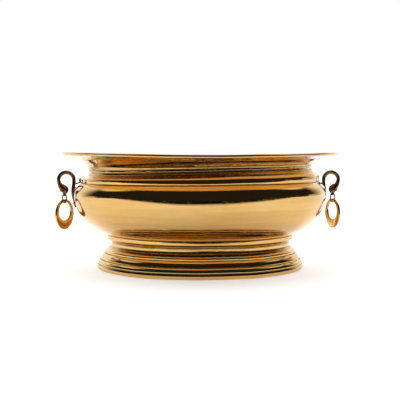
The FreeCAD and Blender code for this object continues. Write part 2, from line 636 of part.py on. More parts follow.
def make_ring(side):
    """Crescent ring: round outside, oval opening set high, all edges rounded."""
    label = "ring_" + side
    body = doc.addObject("PartDesign::Body", label)
    body.Label = label
    outside = size("ring_radius")
    half_width = size("ring_bore_half_width")
    half_height = size("ring_bore_half_height")
    rise = outside - size("ring_top_width") - half_height
    sketch = new_sketch(body, label + "_outline", "XZ_Plane")
    circle = sketch.addGeometry(Part.Circle(V(0, 0, 0), V(0, 0, 1), outside))
    sketch.addConstraint(Sketcher.Constraint("Coincident", circle, 3, -1, 1))
    bind(sketch, Sketcher.Constraint("Radius", circle, outside), "sizes.ring_radius")
    oval = sketch.addGeometry(Part.Ellipse(V(half_width, rise, 0), V(0, rise + half_height, 0),
                                           V(0, rise, 0)))
    sketch.exposeInternalGeometry(oval)
    major, minor = oval + 1, oval + 2
    sketch.addConstraint(Sketcher.Constraint("PointOnObject", oval, 3, -2))
    bind(sketch, Sketcher.Constraint("DistanceY", oval, 3, rise),
         "sizes.ring_radius - sizes.ring_top_width - sizes.ring_bore_half_height")
    sketch.addConstraint(Sketcher.Constraint("Horizontal", major))
    bind(sketch, Sketcher.Constraint("Distance", major, 2 * half_width),
         "sizes.ring_bore_half_width*2")
    bind(sketch, Sketcher.Constraint("Distance", minor, 2 * half_height),
         "sizes.ring_bore_half_height*2")
    doc.recompute()
    plate = body.newObject("PartDesign::Pad", label + "_plate")
    plate.Profile = (sketch, [""])
    plate.Midplane = True
    plate.setExpression("Length", "sizes.ring_thickness")
    body.Tip = plate
    doc.recompute()
    rims = ["Edge%d" % (i + 1) for i, edge in enumerate(plate.Shape.Edges)
            if edge.isClosed()]
    rounded = body.newObject("PartDesign::Fillet", label + "_rounded")
    rounded.Base = (plate, rims)
    rounded.setExpression("Radius", "sizes.ring_edge_round")
    body.Tip = rounded
    seat = body.newObject("PartDesign::AdditiveCylinder", label + "_seat")
    seat.setExpression("Radius", "sizes.ring_seat_radius")
    seat.setExpression("Height", "sizes.ring_seat_length")
    seat.Placement = FreeCAD.Placement(
        V(-size("ring_seat_length") / 2, 0, outside - size("ring_top_width") / 2),
        FreeCAD.Rotation(V(0, 1, 0), 90))
    body.Tip = seat
    doc.recompute()
    hang_height = size("eye_height") - size("link_length") + size("link_bend_radius")
    centre = V(size("hang_radius"), 0, hang_height + size("ring_top_width") / 2 - outside)
    body.Placement = SIDES[side] * turned_about(hang_turn(side) - 90, centre)
    doc.recompute()
    return body


# ------------------------------------------------------------------------------------------
# Rivets and roves
# ------------------------------------------------------------------------------------------

def dome_curve(radius, height):
    """Radius of a dome from its foot radius and height."""
    return "(pow(" + radius + "; 2) + pow(" + height + "; 2))/(2*" + height + ")"


def make_rivet(label, seat, plate, side):
    """Domed rivet through a plate of the handle, the wall and a rove. Its own origin is in the
    head's seat, and its shank runs down its own -Z."""
    grip = "(" + plate + " + sizes.wall_thickness + sizes.seat_gap + sizes.rove_thickness)"
    head, head_height = "sizes.rivet_head_radius", "sizes.rivet_head_height"
    tail, tail_height = "sizes.rivet_tail_radius", "sizes.rivet_tail_height"
    body = turned_body(label, [
        ("0", head_height, dome_curve(head, head_height), -1),
        (head, "0"),
        ("sizes.rivet_radius", "0"),
        ("sizes.rivet_radius", "0 - " + grip),
        (tail, "0 - " + grip, dome_curve(tail, tail_height), -1),
        ("0", "0 - " + grip + " - " + tail_height),
    ])
    body.Placement = SIDES[side] * seat
    return body


def make_rove(label, seat, side):
    """Round washer against the inside of the wall."""
    body = doc.addObject("PartDesign::Body", label)
    body.Label = label
    sketch = new_sketch(body, label + "_outline", "XY_Plane")
    for alias in ("rove_radius", "rivet_bore_radius"):
        circle = sketch.addGeometry(Part.Circle(V(0, 0, 0), V(0, 0, 1), size(alias)))
        sketch.addConstraint(Sketcher.Constraint("Coincident", circle, 3, -1, 1))
        bind(sketch, Sketcher.Constraint("Radius", circle, size(alias)), "sizes." + alias)
    doc.recompute()
    washer = body.newObject("PartDesign::Pad", label + "_washer")
    washer.Profile = (sketch, [""])
    washer.setExpression("Length", "sizes.rove_thickness")
    washer.Reversed = True
    body.Tip = washer
    depth = size("wall_thickness") + size("seat_gap")
    body.Placement = SIDES[side] * lifted(seat, -depth)
    doc.recompute()
    return body


# ------------------------------------------------------------------------------------------
# Build and write
# ------------------------------------------------------------------------------------------

def hang_turn(side):
    """How far a side's link and ring are turned, the two sides in opposite senses."""
    return size("hang_twist_right") if side == "right" else -size("hang_twist_left")


def make_handle(side):
    """The swan-neck casting of one side."""
    handle = doc.addObject("Part::Feature", "swan_handle_" + side)
    handle.Label = "swan_handle_" + side
    handle.Shape = swan_handle(hang_turn(side))
    handle.Placement = SIDES[side]
    return handle


bowl_body = make_bowl_body()
subparts = [make_rim_collar(), bowl_body, make_foot_pedestal()]
for side in SIDES:
    subparts.append(make_handle(side))
    subparts.append(make_link(side))
    subparts.append(make_ring(side))
    upper_head_seat = lifted(UPPER_SEAT, size("pad_thickness"))
    lower_head_seat = lifted(LOWER_SEAT, size("leaf_thickness"))
    subparts.append(make_rivet("upper_rivet_" + side, upper_head_seat,
                               "sizes.pad_thickness", side))
    subparts.append(make_rivet("lower_rivet_" + side, lower_head_seat,
                               "sizes.leaf_thickness", side))
    subparts.append(make_rove("upper_rove_" + side, UPPER_SEAT, side))
    subparts.append(make_rove("lower_rove_" + side, LOWER_SEAT, side))

doc.recompute()
for item in doc.Objects:
    if {"Invalid", "Error"} & set(item.State):
        raise ValueError(item.Label + " failed to recompute")
os.makedirs("parts", exist_ok=True)
for item in subparts:
    if item.Shape.isNull() or not item.Shape.isValid() or len(item.Shape.Solids) != 1:
        raise ValueError(item.Label + " is not one valid solid")
    item.Shape.exportStep("parts/" + item.Label + ".step")
    print("%-24s %9.1f mm3" % (item.Label, item.Shape.Volume))
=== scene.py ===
import json
import math

import bpy
import numpy as np
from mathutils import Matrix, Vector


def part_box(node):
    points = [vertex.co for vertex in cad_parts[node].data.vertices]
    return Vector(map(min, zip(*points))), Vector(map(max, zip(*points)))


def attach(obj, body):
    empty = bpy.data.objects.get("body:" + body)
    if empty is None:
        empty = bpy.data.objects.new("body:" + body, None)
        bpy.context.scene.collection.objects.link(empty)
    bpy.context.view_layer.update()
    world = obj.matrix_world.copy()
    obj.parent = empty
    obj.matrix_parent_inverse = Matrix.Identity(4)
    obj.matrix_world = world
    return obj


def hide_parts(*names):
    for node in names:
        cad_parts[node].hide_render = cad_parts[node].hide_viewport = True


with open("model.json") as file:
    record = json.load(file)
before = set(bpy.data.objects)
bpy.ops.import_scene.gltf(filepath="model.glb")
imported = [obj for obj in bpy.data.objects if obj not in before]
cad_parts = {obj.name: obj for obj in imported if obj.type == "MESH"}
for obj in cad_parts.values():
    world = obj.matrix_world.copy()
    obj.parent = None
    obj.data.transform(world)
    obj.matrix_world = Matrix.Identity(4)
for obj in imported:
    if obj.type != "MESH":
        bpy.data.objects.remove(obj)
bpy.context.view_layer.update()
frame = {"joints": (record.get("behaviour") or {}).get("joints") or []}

# A footed brass urli bowl: rim collar, bowl and stepped foot are turned shells, and at each side
# a swan-neck handle carries a link and a crescent ring. Each piece is worked out as a surface in
# millimetres on the bowl's axis and stored in metres; the handles lie on the X axis.

bl_info = {
    "name": "Brass Urli Bowl",
    "version": (1, 0, 0),
    "blender": (4, 5, 0),
    "location": "3D View > Sidebar > Urli",
    "description": "Builds the worn brass skins of a footed urli bowl with swan-neck handles",
    "category": "Add Mesh",
}

MM = 0.001
SIDES = {"left": -1.0, "right": 1.0}
JOINTS = {joint["name"]: joint for joint in frame["joints"]}
rng = np.random.default_rng(41)


def unit(vectors):
    """Vectors along the last axis, each scaled to a length of 1."""
    vectors = np.asarray(vectors, float)
    return vectors / np.linalg.norm(vectors, axis=-1, keepdims=True)


def run_along(points):
    """Distance along a path to each of its points, from 0."""
    steps = np.linalg.norm(np.diff(points, axis=0), axis=1)
    return np.concatenate([[0], np.cumsum(steps)])


def span(node_name):
    """Lowest and highest corner of a CAD node, in millimetres."""
    low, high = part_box(node_name)
    return np.array(low) / MM, np.array(high) / MM


# ---- Main sizes in millimetres, the first ones read from the frame

_, RIM_HIGH = span("rim_collar")
BOWL_LOW, BOWL_HIGH = span("bowl_body")
_, FOOT_HIGH = span("foot_pedestal")
RIM_RADIUS = RIM_HIGH[0]
RIM_TOP = RIM_HIGH[2]
SEAM = BOWL_HIGH[2]
BELLY_RADIUS = BOWL_HIGH[0]
DISH_LOW = BOWL_LOW[2]
BASE_RADIUS = FOOT_HIGH[0]
WALL = 3.0
NECK = 174.0

BELLY_HEIGHT = 116.0
BELLY_UPPER = 20.5
BELLY_LOWER = 56.0
BELLY_TURN = math.radians(50)
BELLY_UNDER = 139.0
BELLY_RISE = 17.6     # from the widest place up to the shoulder
RISER = 186.6
DISH_RADIUS = 147.9
DISH_CURVE = 350.0
FOOT_BORE = 137.0
FOOT_TOP = FOOT_HIGH[2]


# ---- Settings

def length(name, description, default, low=0.0):
    return bpy.props.FloatProperty(name=name, description=description, default=default, min=low,
                                   unit="LENGTH", subtype="DISTANCE")


def slope_angle(name, description, degrees):
    return bpy.props.FloatProperty(name=name, description=description,
                                   default=math.radians(degrees), unit="ROTATION",
                                   subtype="ANGLE")


def colour_choice(name, description, default):
    return bpy.props.FloatVectorProperty(name=name, description=description, default=default,
                                         size=3, min=0, max=1, subtype="COLOR")


def share_of_one(name, description, default):
    return bpy.props.FloatProperty(name=name, description=description, default=default,
                                   min=0.0, max=1.0, subtype="FACTOR")


class UrliShapeSettings(bpy.types.PropertyGroup):
    """How worn and uneven the hand-made surfaces are"""
    wear: length("Corner wear", "Width over which turned corners are worn round", 0.0008, 0.0001)
    unevenness: length("Unevenness", "Depth of the slow waves left by hand finishing", 0.00010)
    rim_warp: length("Rim warp", "How far the rim rises at the handles and dips between them",
                     0.0026)
    seam_tilt: slope_angle("Seam tilt", "Slope of the soldered seam, higher at the right", 1.3)
    body_tilt: slope_angle("Body tilt", "Slope of shoulder and belly, higher at the right", 0.4)
    dent_depth: length("Dent depth", "Depth of the deepest dent in the belly", 0.0005)
    around: bpy.props.IntProperty(
        name="Steps around", description="Faces around each turned shell",
        default=288, min=48, max=360)


class UrliFinishSettings(bpy.types.PropertyGroup):
    """Colours and polish of the metals"""
    brass: colour_choice("Brass", "Polished yellow brass", (0.80, 0.51, 0.19))
    warm_brass: colour_choice("Warm brass", "Redder clouds in the brass", (0.74, 0.43, 0.13))
    # The dark colour stands for tarnish and also for painted shade in grooves and crevices.
    patina_and_shade: colour_choice("Patina and shade", "Dark tarnish and painted shade in grooves and crevices", (0.10, 0.045, 0.012))
    aged_brass: colour_choice("Aged brass", "Dark brown brass of the handles",
                              (0.30, 0.17, 0.07))
    rivet_grey: colour_choice("Rivet grey", "Greyed metal of the rivets", (0.42, 0.39, 0.33))
    polish: share_of_one("Roughness", "Roughness of the cleanest polished brass", 0.07)


class UrliStageSettings(bpy.types.PropertyGroup):
    """Camera, floor and soft light"""
    distance: length("Camera distance", "From the bowl's axis", 1.36, 0.3)
    height: length("Camera height", "Above the floor", 0.169)
    azimuth: slope_angle("Camera azimuth", "Round the bowl from its front", -4.0)
    pitch: slope_angle("Camera pitch", "Downward look", 2.66)
    lens: bpy.props.FloatProperty(
        name="Lens", description="Focal length in millimetres for a 36 mm sensor",
        default=77.4, min=10, subtype="DISTANCE_CAMERA")
    backdrop: bpy.props.FloatProperty(
        name="Backdrop", description="Brightness of the backdrop in reflections",
        default=1.1, min=0.0)
    overhead: share_of_one("Overhead", "Share of the backdrop's brightness straight overhead",
                           0.03)
    front: bpy.props.FloatProperty(
        name="Front", description="Brightness of the unlit front of the room",
        default=0.02, min=0.0)


# ---- Outlines: arcs and runs, worn round and sampled

FINE_STEP = 0.2     # mm, spacing of an outline before it is thinned
LENGTH_COST = 0.055    # share of the thinned places given to length, per step
TURN_COST = 1.6        # and to turning, per radian


def arc_places(start, end, curve):
    """Places on the minor arc of radius |curve| from start to end, start left out.

    The centre is on the left of the way where curve is positive; the place at share s is the
    centre plus the start's spoke turned by s times the whole angle.
    """
    chord = end - start
    half = np.hypot(*chord) / 2
    left = np.array([-chord[1], chord[0]]) / (2 * half)
    centre = (start + end) / 2 + left * math.copysign(math.sqrt(curve ** 2 - half ** 2), curve)
    turn = 2 * math.asin(half / abs(curve)) * math.copysign(1, curve)
    share = np.linspace(0, 1, max(3, int(abs(turn * curve) / FINE_STEP)))[1:]
    spoke = start - centre
    c, s = np.cos(share * turn), np.sin(share * turn)
    return centre + np.stack([spoke[0] * c - spoke[1] * s, spoke[0] * s + spoke[1] * c], 1)


def trace(steps):
    """Outline through steps of (radius, height), or (radius, height, curve) after an arc."""
    places = [np.array([steps[0][:2]], float)]
    for step in steps[1:]:
        start, end = places[-1][-1], np.array(step[:2], float)
        if len(step) == 3:
            places.append(arc_places(start, end, step[2]))
        else:
            count = max(2, int(np.hypot(*(end - start)) / FINE_STEP))
            places.append(start + (end - start) * np.linspace(0, 1, count)[1:, None])
    return np.concatenate(places)


def worn(outline, wear, count, closed):
    """Rounds an outline's corners and thins it to count places.

    The outline, with its mirror image across the axis where it is open, is cut into even
    steps and averaged with a bell-shaped weight. Places are then picked so that each holds an
    equal share of length and turning. Returns places, distance along, and bend (1/mm, convex
    positive for an outline that runs anticlockwise).
    """
    loop = outline if closed else np.concatenate([outline, outline[::-1] * (-1, 1)])
    ends = np.concatenate([loop, loop[:1]])
    run = run_along(ends)
    even = np.linspace(0, run[-1], int(run[-1] / FINE_STEP), endpoint=False)
    flat = np.stack([np.interp(even, run, ends[:, k]) for k in (0, 1)], 1)
    frequency = np.fft.fftfreq(len(even), run[-1] / len(even))
    weight = np.exp(-2 * (math.pi * frequency * wear) ** 2)[:, None]
    flat = np.fft.ifft(np.fft.fft(flat, axis=0) * weight, axis=0).real
    ahead = np.roll(flat, -1, 0) - flat
    heading = np.unwrap(np.arctan2(ahead[:, 1], ahead[:, 0]))
    bend = np.gradient(heading) / np.hypot(*ahead.T)
    if not closed:
        half = len(flat) // 2
        flat, bend, even = flat[:half], bend[:half], even[:half]
        flat[0, 0] = flat[-1, 0] = 0
    length = run_along(flat)
    cost = np.concatenate([[0], np.cumsum(LENGTH_COST
                                          + np.abs(bend[1:]) * FINE_STEP * TURN_COST)])
    at = np.arange(len(cost))
    pick = np.interp(np.linspace(0, cost[-1], count, endpoint=not closed), cost, at)
    places = np.stack([np.interp(pick, at, flat[:, k]) for k in (0, 1)], 1)
    return places, np.interp(pick, at, length), np.interp(pick, at, bend)


# ---- Meshes from grids

def make_mesh(name, grid, along, rows_closed=False, poles=None, masks=None):
    """A mesh piece from a grid of points, (rows, columns, 3) in millimetres.

    Columns always close on themselves; rows close too, or end in two pole points. Face (i, j)
    joins points (i, j), (i, j+1), (i+1, j+1) and (i+1, j), so it looks towards the columns'
    direction crossed with the rows'. The UV map holds the share around and the distance along
    in metres; masks are values per grid point, stored as attributes of the points.
    """
    rows, columns = grid.shape[:2]
    i = np.arange(rows if rows_closed else rows - 1)[:, None]
    j = np.arange(columns)[None, :]
    following, beside = (i + 1) % rows, (j + 1) % columns
    quads = np.stack([i * columns + j, i * columns + beside,
                      following * columns + beside, following * columns + j], -1).reshape(-1, 4)
    reach = np.append(along, 2 * along[-1] - along[-2]) * MM
    share = np.stack(np.broadcast_arrays(j, j + 1, j + 1, j), -1) / columns
    level = np.stack(np.broadcast_arrays(reach[i], reach[i], reach[i + 1], reach[i + 1]), -1)
    share = np.broadcast_to(share, level.shape[:1] + share.shape[1:])
    level = np.broadcast_to(level, share.shape)
    uv = np.stack([share.reshape(-1, 4), level.reshape(-1, 4)], -1)
    points = grid.reshape(-1, 3)
    triangles = np.zeros((0, 3), int)
    tri_uv = np.zeros((0, 3, 2))
    if poles is not None:
        j = j.ravel()
        first, last = len(points), len(points) + 1
        points = np.concatenate([points, np.array(poles)])
        base = (rows - 1) * columns
        triangles = np.concatenate([
            np.stack([np.full(columns, first), (j + 1) % columns, j], 1),
            np.stack([np.full(columns, last), base + j, base + (j + 1) % columns], 1)])
        middle = (j + 0.5) / columns
        start, stop = np.full(columns, reach[0]), np.full(columns, reach[rows - 1])
        tri_uv = np.concatenate([
            np.stack([np.stack([middle, start], 1), np.stack([(j + 1) / columns, start], 1),
                      np.stack([j / columns, start], 1)], 1),
            np.stack([np.stack([middle, stop], 1), np.stack([j / columns, stop], 1),
                      np.stack([(j + 1) / columns, stop], 1)], 1)])
    corners = np.concatenate([quads.ravel(), triangles.ravel()])
    totals = np.concatenate([np.full(len(quads), 4), np.full(len(triangles), 3)])
    mesh = bpy.data.meshes.new(name)
    mesh.vertices.add(len(points))
    mesh.vertices.foreach_set("co", (points * MM).astype(np.float32).ravel())
    mesh.loops.add(len(corners))
    mesh.loops.foreach_set("vertex_index", corners.astype(np.int32))
    mesh.polygons.add(len(totals))
    mesh.polygons.foreach_set("loop_start",
                              (np.cumsum(totals) - totals).astype(np.int32))
    mesh.polygons.foreach_set("loop_total", totals.astype(np.int32))
    mesh.polygons.foreach_set("use_smooth", np.ones(len(totals), bool))
    layer = mesh.uv_layers.new(name="UVMap")
    layer.data.foreach_set("uv", np.concatenate([uv.ravel(), tri_uv.ravel()])
                           .astype(np.float32))
    for key, values in (masks or {}).items():
        attribute = mesh.attributes.new(key, "FLOAT", "POINT")
        values = np.broadcast_to(values, (rows, columns)).ravel()
        if poles is not None:
            values = np.append(values, (values[0], values[-1]))
        attribute.data.foreach_set("value", values.astype(np.float32))
    mesh.update()
    if mesh.validate():
        raise ValueError(name + ": the mesh needed repair")
    piece = bpy.data.objects.new(name, mesh)
    bpy.context.scene.collection.objects.link(piece)
    return piece


def even_turns(count):
    """Angles of count places spread evenly round a full turn, from 0."""
    return np.arange(count) * 2 * math.pi / count


def squared(angle, flat):
    """Cosine and sine, each with the power 2/flat, so flat above 2 squares a circle up."""
    c, s = np.cos(angle), np.sin(angle)
    return np.sign(c) * np.abs(c) ** (2 / flat), np.sign(s) * np.abs(s) ** (2 / flat)


RECESS_RADIUS, EDGE_RADIUS = 2.2, 1.6    # mm, bends tighter than these fill their mask


def crevice_masks(bend):
    """Recess and edge, 0 to 1, from how tightly an outline bends in or out."""
    return {"recess": np.clip(-bend * RECESS_RADIUS, 0, 1)[:, None],
            "edge": np.clip(bend * EDGE_RADIUS, 0, 1)[:, None]}


def turned(places, around):
    """Turns (radius, height) places about Z: (radius cos a, radius sin a, height)."""
    angle = even_turns(around)
    radius, height = places[:, :1], places[:, 1:]
    return np.stack([radius * np.cos(angle), radius * np.sin(angle),
                     np.broadcast_to(height, (len(places), around))], -1)


def finish_piece(piece, body, slot, metal, *nodes):
    """Gives a piece its metal and its body, and hides the CAD nodes that it stands for; slot is
    not used.
    """
    piece.data.materials.append(metal)
    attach(piece, body)
    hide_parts(*nodes)


# ---- Hand-made unevenness shared by the bowl's three shells

WAVE_COUNT = 36
FEWEST_TURNS, MOST_TURNS = 2, 26
CLIMB_SPREAD = 0.05     # radians of a wave per mm up the wall
CALM_TURNS = 6          # turns at which a wave has half its depth
WAVES = [(rng.integers(FEWEST_TURNS, MOST_TURNS), rng.normal(0, CLIMB_SPREAD),
          rng.uniform(0, 2 * math.pi), rng.normal())
         for _ in range(WAVE_COUNT)]
DENTS = [    # (angle from the front in degrees, height, reach, share of the full depth)
    (-20.0, 77.0, 5.0, 1.0),
    (5.0, 90.0, 3.0, 0.5),
    (27.0, 83.0, 6.0, 0.6),
    (-38.0, 101.0, 8.0, 0.5),
    (141.0, 96.0, 9.0, 0.9),
    (-118.0, 84.0, 7.0, 0.8),
]
SEAM_REACH = 11.0
BODY_START, BODY_END = (52.0, 90.0), (146.0, 160.0)    # heights of the body's slope
WARP_START, WARP_SHORT = 156.0, 4.0
CORE_RADIUS = 40.0      # waves fade inside this, towards the middle of the bottom


def rise(value, low, high):
    """Smooth step from 0 at low to 1 at high: 3s squared minus 2s cubed."""
    share = np.clip((value - low) / (high - low), 0, 1)
    return share * share * (3 - 2 * share)


def hand_made(points, settings):
    """Moves points of the shells as hand work left them.

    Radius and height shift by a sum of waves round the axis and up the wall; the rim rises
    with the cosine of twice the angle; seam and body slope along X; each dent pushes in by a
    bell of the distance from its middle.
    """
    x, y, z = points[..., 0], points[..., 1], points[..., 2]
    radius = np.hypot(x, y)
    angle = np.arctan2(y, x)
    depth = settings.unevenness / MM
    out = np.zeros_like(radius)
    up = np.zeros_like(radius)
    for turns, climb, phase, strength in WAVES:
        size = depth * strength / (1 + turns / CALM_TURNS)
        out += size * np.cos(turns * angle + climb * z + phase)
        up += size * np.cos(turns * angle + climb * radius + 2 * phase)
    seam = np.exp(-((z - SEAM) / SEAM_REACH) ** 2) * math.tan(settings.seam_tilt)
    body = rise(z, *BODY_START) * (1 - rise(z, *BODY_END)) * math.tan(settings.body_tilt)
    up += x * (seam + body)
    up += (settings.rim_warp / MM * np.cos(2 * angle)
           * rise(z, WARP_START, RIM_TOP - WARP_SHORT))
    for turn, height, reach, share in DENTS:
        middle = math.radians(turn - 90)
        gap = np.hypot((angle - middle + math.pi) % (2 * math.pi) - math.pi,
                       (z - height) / BELLY_RADIUS) * BELLY_RADIUS
        out -= settings.dent_depth / MM * share * np.exp(-(gap / reach) ** 2)
    scale = 1 + out / np.maximum(radius, CORE_RADIUS)
    return np.stack([x * scale, y * scale, z + up], -1)


# ---- Outlines of the three shells, anticlockwise, (radius, height[, curve])

def belly_axis(curve):
    """Radius at which the centre of a belly arc lies."""
    return BELLY_RADIUS - curve


def on_dish(radius, curve=DISH_CURVE):
    """Height of the dished bottom at a radius."""
    return DISH_LOW + DISH_CURVE - math.sqrt(curve ** 2 - radius ** 2)


def rim_outline():
    """Lip, flange, throat, neck and the bead over the seam."""
    lip = 2.5
    root = RIM_RADIUS - lip
    return [
        (NECK - WALL, SEAM), (NECK, SEAM), (NECK, SEAM + 2.16, 1.2), (NECK, SEAM + 4),
        (NECK + 2.4, SEAM + 7.8, -6), (NECK + 12, SEAM + 14.8), (NECK + 19, SEAM + 17.5, -14),
        (root - 1.5, RIM_TOP - 5.1), (root, RIM_TOP - 5), (RIM_RADIUS, RIM_TOP - lip, lip),
        (root, RIM_TOP, lip), (root - 3.2, RIM_TOP - 0.6), (root - 5.2, RIM_TOP - 2.5),
        (NECK + 18.4, SEAM + 20.5), (NECK + 10.2, SEAM + 17.2, 17), (NECK + 0.6, SEAM + 10.2),
        (NECK - WALL, SEAM + 4, 9), (NECK - WALL, SEAM),
    ]


def bowl_outline():
    """Dished bottom, belly, shoulder and neck foot outside, and the same inside."""
    lower_in = BELLY_LOWER - WALL
    upper_in = BELLY_UPPER - WALL
    riser_in = RISER - WALL
    dish_in = DISH_CURVE - WALL
    edge_in = DISH_RADIUS * dish_in / DISH_CURVE
    belly_top = BELLY_HEIGHT + BELLY_RISE
    turn_foot = (belly_axis(BELLY_LOWER) + BELLY_LOWER * math.cos(BELLY_TURN),
                 BELLY_HEIGHT - BELLY_LOWER * math.sin(BELLY_TURN))
    turn_in = (belly_axis(BELLY_LOWER) + lower_in * math.cos(BELLY_TURN),
               BELLY_HEIGHT - lower_in * math.sin(BELLY_TURN))
    return [
        (0, DISH_LOW), (DISH_RADIUS, on_dish(DISH_RADIUS), DISH_CURVE),
        (*turn_foot, BELLY_UNDER), (BELLY_RADIUS, BELLY_HEIGHT, BELLY_LOWER),
        (belly_axis(BELLY_UPPER) + math.sqrt(BELLY_UPPER ** 2 - BELLY_RISE ** 2), belly_top,
         BELLY_UPPER),
        (RISER - 1.0, belly_top + 1), (RISER, belly_top + 2), (RISER, belly_top + 7.6),
        (RISER - 2, belly_top + 10.1, 2.4), (NECK + 7, belly_top + 12.3),
        (NECK, SEAM - 2.7, -8.4), (NECK, SEAM),
        (NECK - WALL, SEAM), (NECK - WALL, SEAM - 3), (NECK + 5.4, belly_top + 9.7, 11.4),
        (riser_in, belly_top + 6.8),
        (riser_in, BELLY_HEIGHT + math.sqrt(upper_in ** 2
                                            - (riser_in - belly_axis(BELLY_UPPER)) ** 2)),
        (BELLY_RADIUS - WALL, BELLY_HEIGHT, -upper_in), (*turn_in, -lower_in),
        (edge_in, on_dish(edge_in, dish_in), WALL - BELLY_UNDER),
        (0, DISH_LOW + WALL, -dish_in),
    ]


def foot_outline():
    """Collar, waist cove, three stepped mouldings and base bead, and the hollow inside."""
    base = BASE_RADIUS
    bore = base - 24.5
    return [
        (base - 5.3, 0), (base - 2.1, 0), (base, 4.3, 5), (base - 1.6, 8.8, 5),
        (base - 1.2, 9.4), (base - 1.2, 10.2), (base - 5.8, 16.2, 8), (base - 5.4, 16.6),
        (base - 5.4, 17.6), (base - 12.2, 25.9, 13), (base - 11.8, 26.3),
        (base - 11.8, 28.6), (base - 13.8, 30.8, 2.4), (base - 17.5, 32.7),
        (base - 21.3, 37.2, -5.2), (base - 21.3, 41.6), (base - 20.6, 43.0),
        (base - 16.3, 46.9), (base - 15.5, 48), (base - 15.5, on_dish(base - 15.5)),
        (bore, on_dish(bore), -DISH_CURVE), (bore, 36.5), (base - 15.3, 26.3),
        (base - 8.7, 16.6), (base - 5.3, 5.8), (base - 5.3, 0),
    ]


# ---- Shader helpers and node groups

def feed(tree, node, inputs):
    """Feeds a node's inputs with values or sockets."""
    for key, value in inputs.items():
        if isinstance(value, bpy.types.NodeSocket):
            tree.links.new(value, node.inputs[key])
        else:
            node.inputs[key].default_value = value


def add(tree, kind, inputs=None, **settings):
    """Adds a node, sets its options and feeds its inputs with values or sockets."""
    made = tree.nodes.new(kind)
    for key, value in settings.items():
        setattr(made, key, value)
    feed(tree, made, inputs or {})
    return made


def calc(tree, operation, first, second=0.0, clamp=False):
    """Result of a Math node."""
    return add(tree, "ShaderNodeMath", {0: first, 1: second}, operation=operation,
               use_clamp=clamp).outputs[0]


def ramp(tree, value, low, high, bottom=0.0, top=1.0):
    """Value mapped from low..high to bottom..top along a smooth step."""
    return add(tree, "ShaderNodeMapRange",
               {"Value": value, "From Min": low, "From Max": high, "To Min": bottom,
                "To Max": top}, interpolation_type="SMOOTHSTEP").outputs["Result"]


def blend_colours(tree, share, first, second, mode="MIX"):
    """Colour from first to second by share."""
    return add(tree, "ShaderNodeMix", {0: share, 6: first, 7: second}, data_type="RGBA",
               blend_type=mode).outputs[2]


def rgba(colour):
    """A colour with full cover."""
    return (*colour, 1.0)


def new_group(name, inputs, outputs):
    """An empty shader group with its named inputs and outputs."""
    tree = bpy.data.node_groups.new(name, "ShaderNodeTree")
    for label, kind, default in inputs:
        socket = tree.interface.new_socket(label, in_out="INPUT", socket_type=kind)
        if default is not None:
            socket.default_value = default
    for label, kind in outputs:
        tree.interface.new_socket(label, in_out="OUTPUT", socket_type=kind)
    return tree, tree.nodes.new("NodeGroupInput"), tree.nodes.new("NodeGroupOutput")


def polish_lines_group():
    """Fine lines that run around a turned piece: noise slow across it, fast along its outline."""
    tree, given, result = new_group(
        "Polish lines",
        [("Place", "NodeSocketVector", None), ("Along", "NodeSocketFloat", 0.0),
         ("Fineness", "NodeSocketFloat", 900.0)],
        [("Lines", "NodeSocketFloat"), ("Bands", "NodeSocketFloat")])
    axes = add(tree, "ShaderNodeSeparateXYZ", {0: given.outputs["Place"]})
    x = calc(tree, "MULTIPLY", axes.outputs[0], 9.0)
    y = calc(tree, "MULTIPLY", axes.outputs[1], 9.0)
    fine = calc(tree, "MULTIPLY", given.outputs["Along"], given.outputs["Fineness"])
    coarse = calc(tree, "MULTIPLY", fine, 0.12)
    for label, climb, detail in (("Lines", fine, 3.0), ("Bands", coarse, 2.0)):
        place = add(tree, "ShaderNodeCombineXYZ", {0: x, 1: y, 2: climb})
        noise = add(tree, "ShaderNodeTexNoise",
                    {"Vector": place.outputs[0], "Scale": 1.0, "Detail": detail,
                     "Roughness": 0.6})
        tree.links.new(noise.outputs["Fac"], result.inputs[label])
    return tree


def tarnish_clouds_group():
    """Soft clouds of tarnish and small smudges, 0 to 1."""
    tree, given, result = new_group(
        "Tarnish clouds",
        [("Place", "NodeSocketVector", None), ("Scale", "NodeSocketFloat", 12.0)],
        [("Clouds", "NodeSocketFloat"), ("Smudges", "NodeSocketFloat")])
    small = calc(tree, "MULTIPLY", given.outputs["Scale"], 5.5)
    for label, scale, detail, low, high in (("Clouds", given.outputs["Scale"], 5.0, 0.38, 0.66),
                                            ("Smudges", small, 6.0, 0.45, 0.75)):
        noise = add(tree, "ShaderNodeTexNoise",
                    {"Vector": given.outputs["Place"], "Scale": scale, "Detail": detail,
                     "Roughness": 0.58, "Distortion": 0.6})
        tree.links.new(ramp(tree, noise.outputs["Fac"], low, high), result.inputs[label])
    return tree


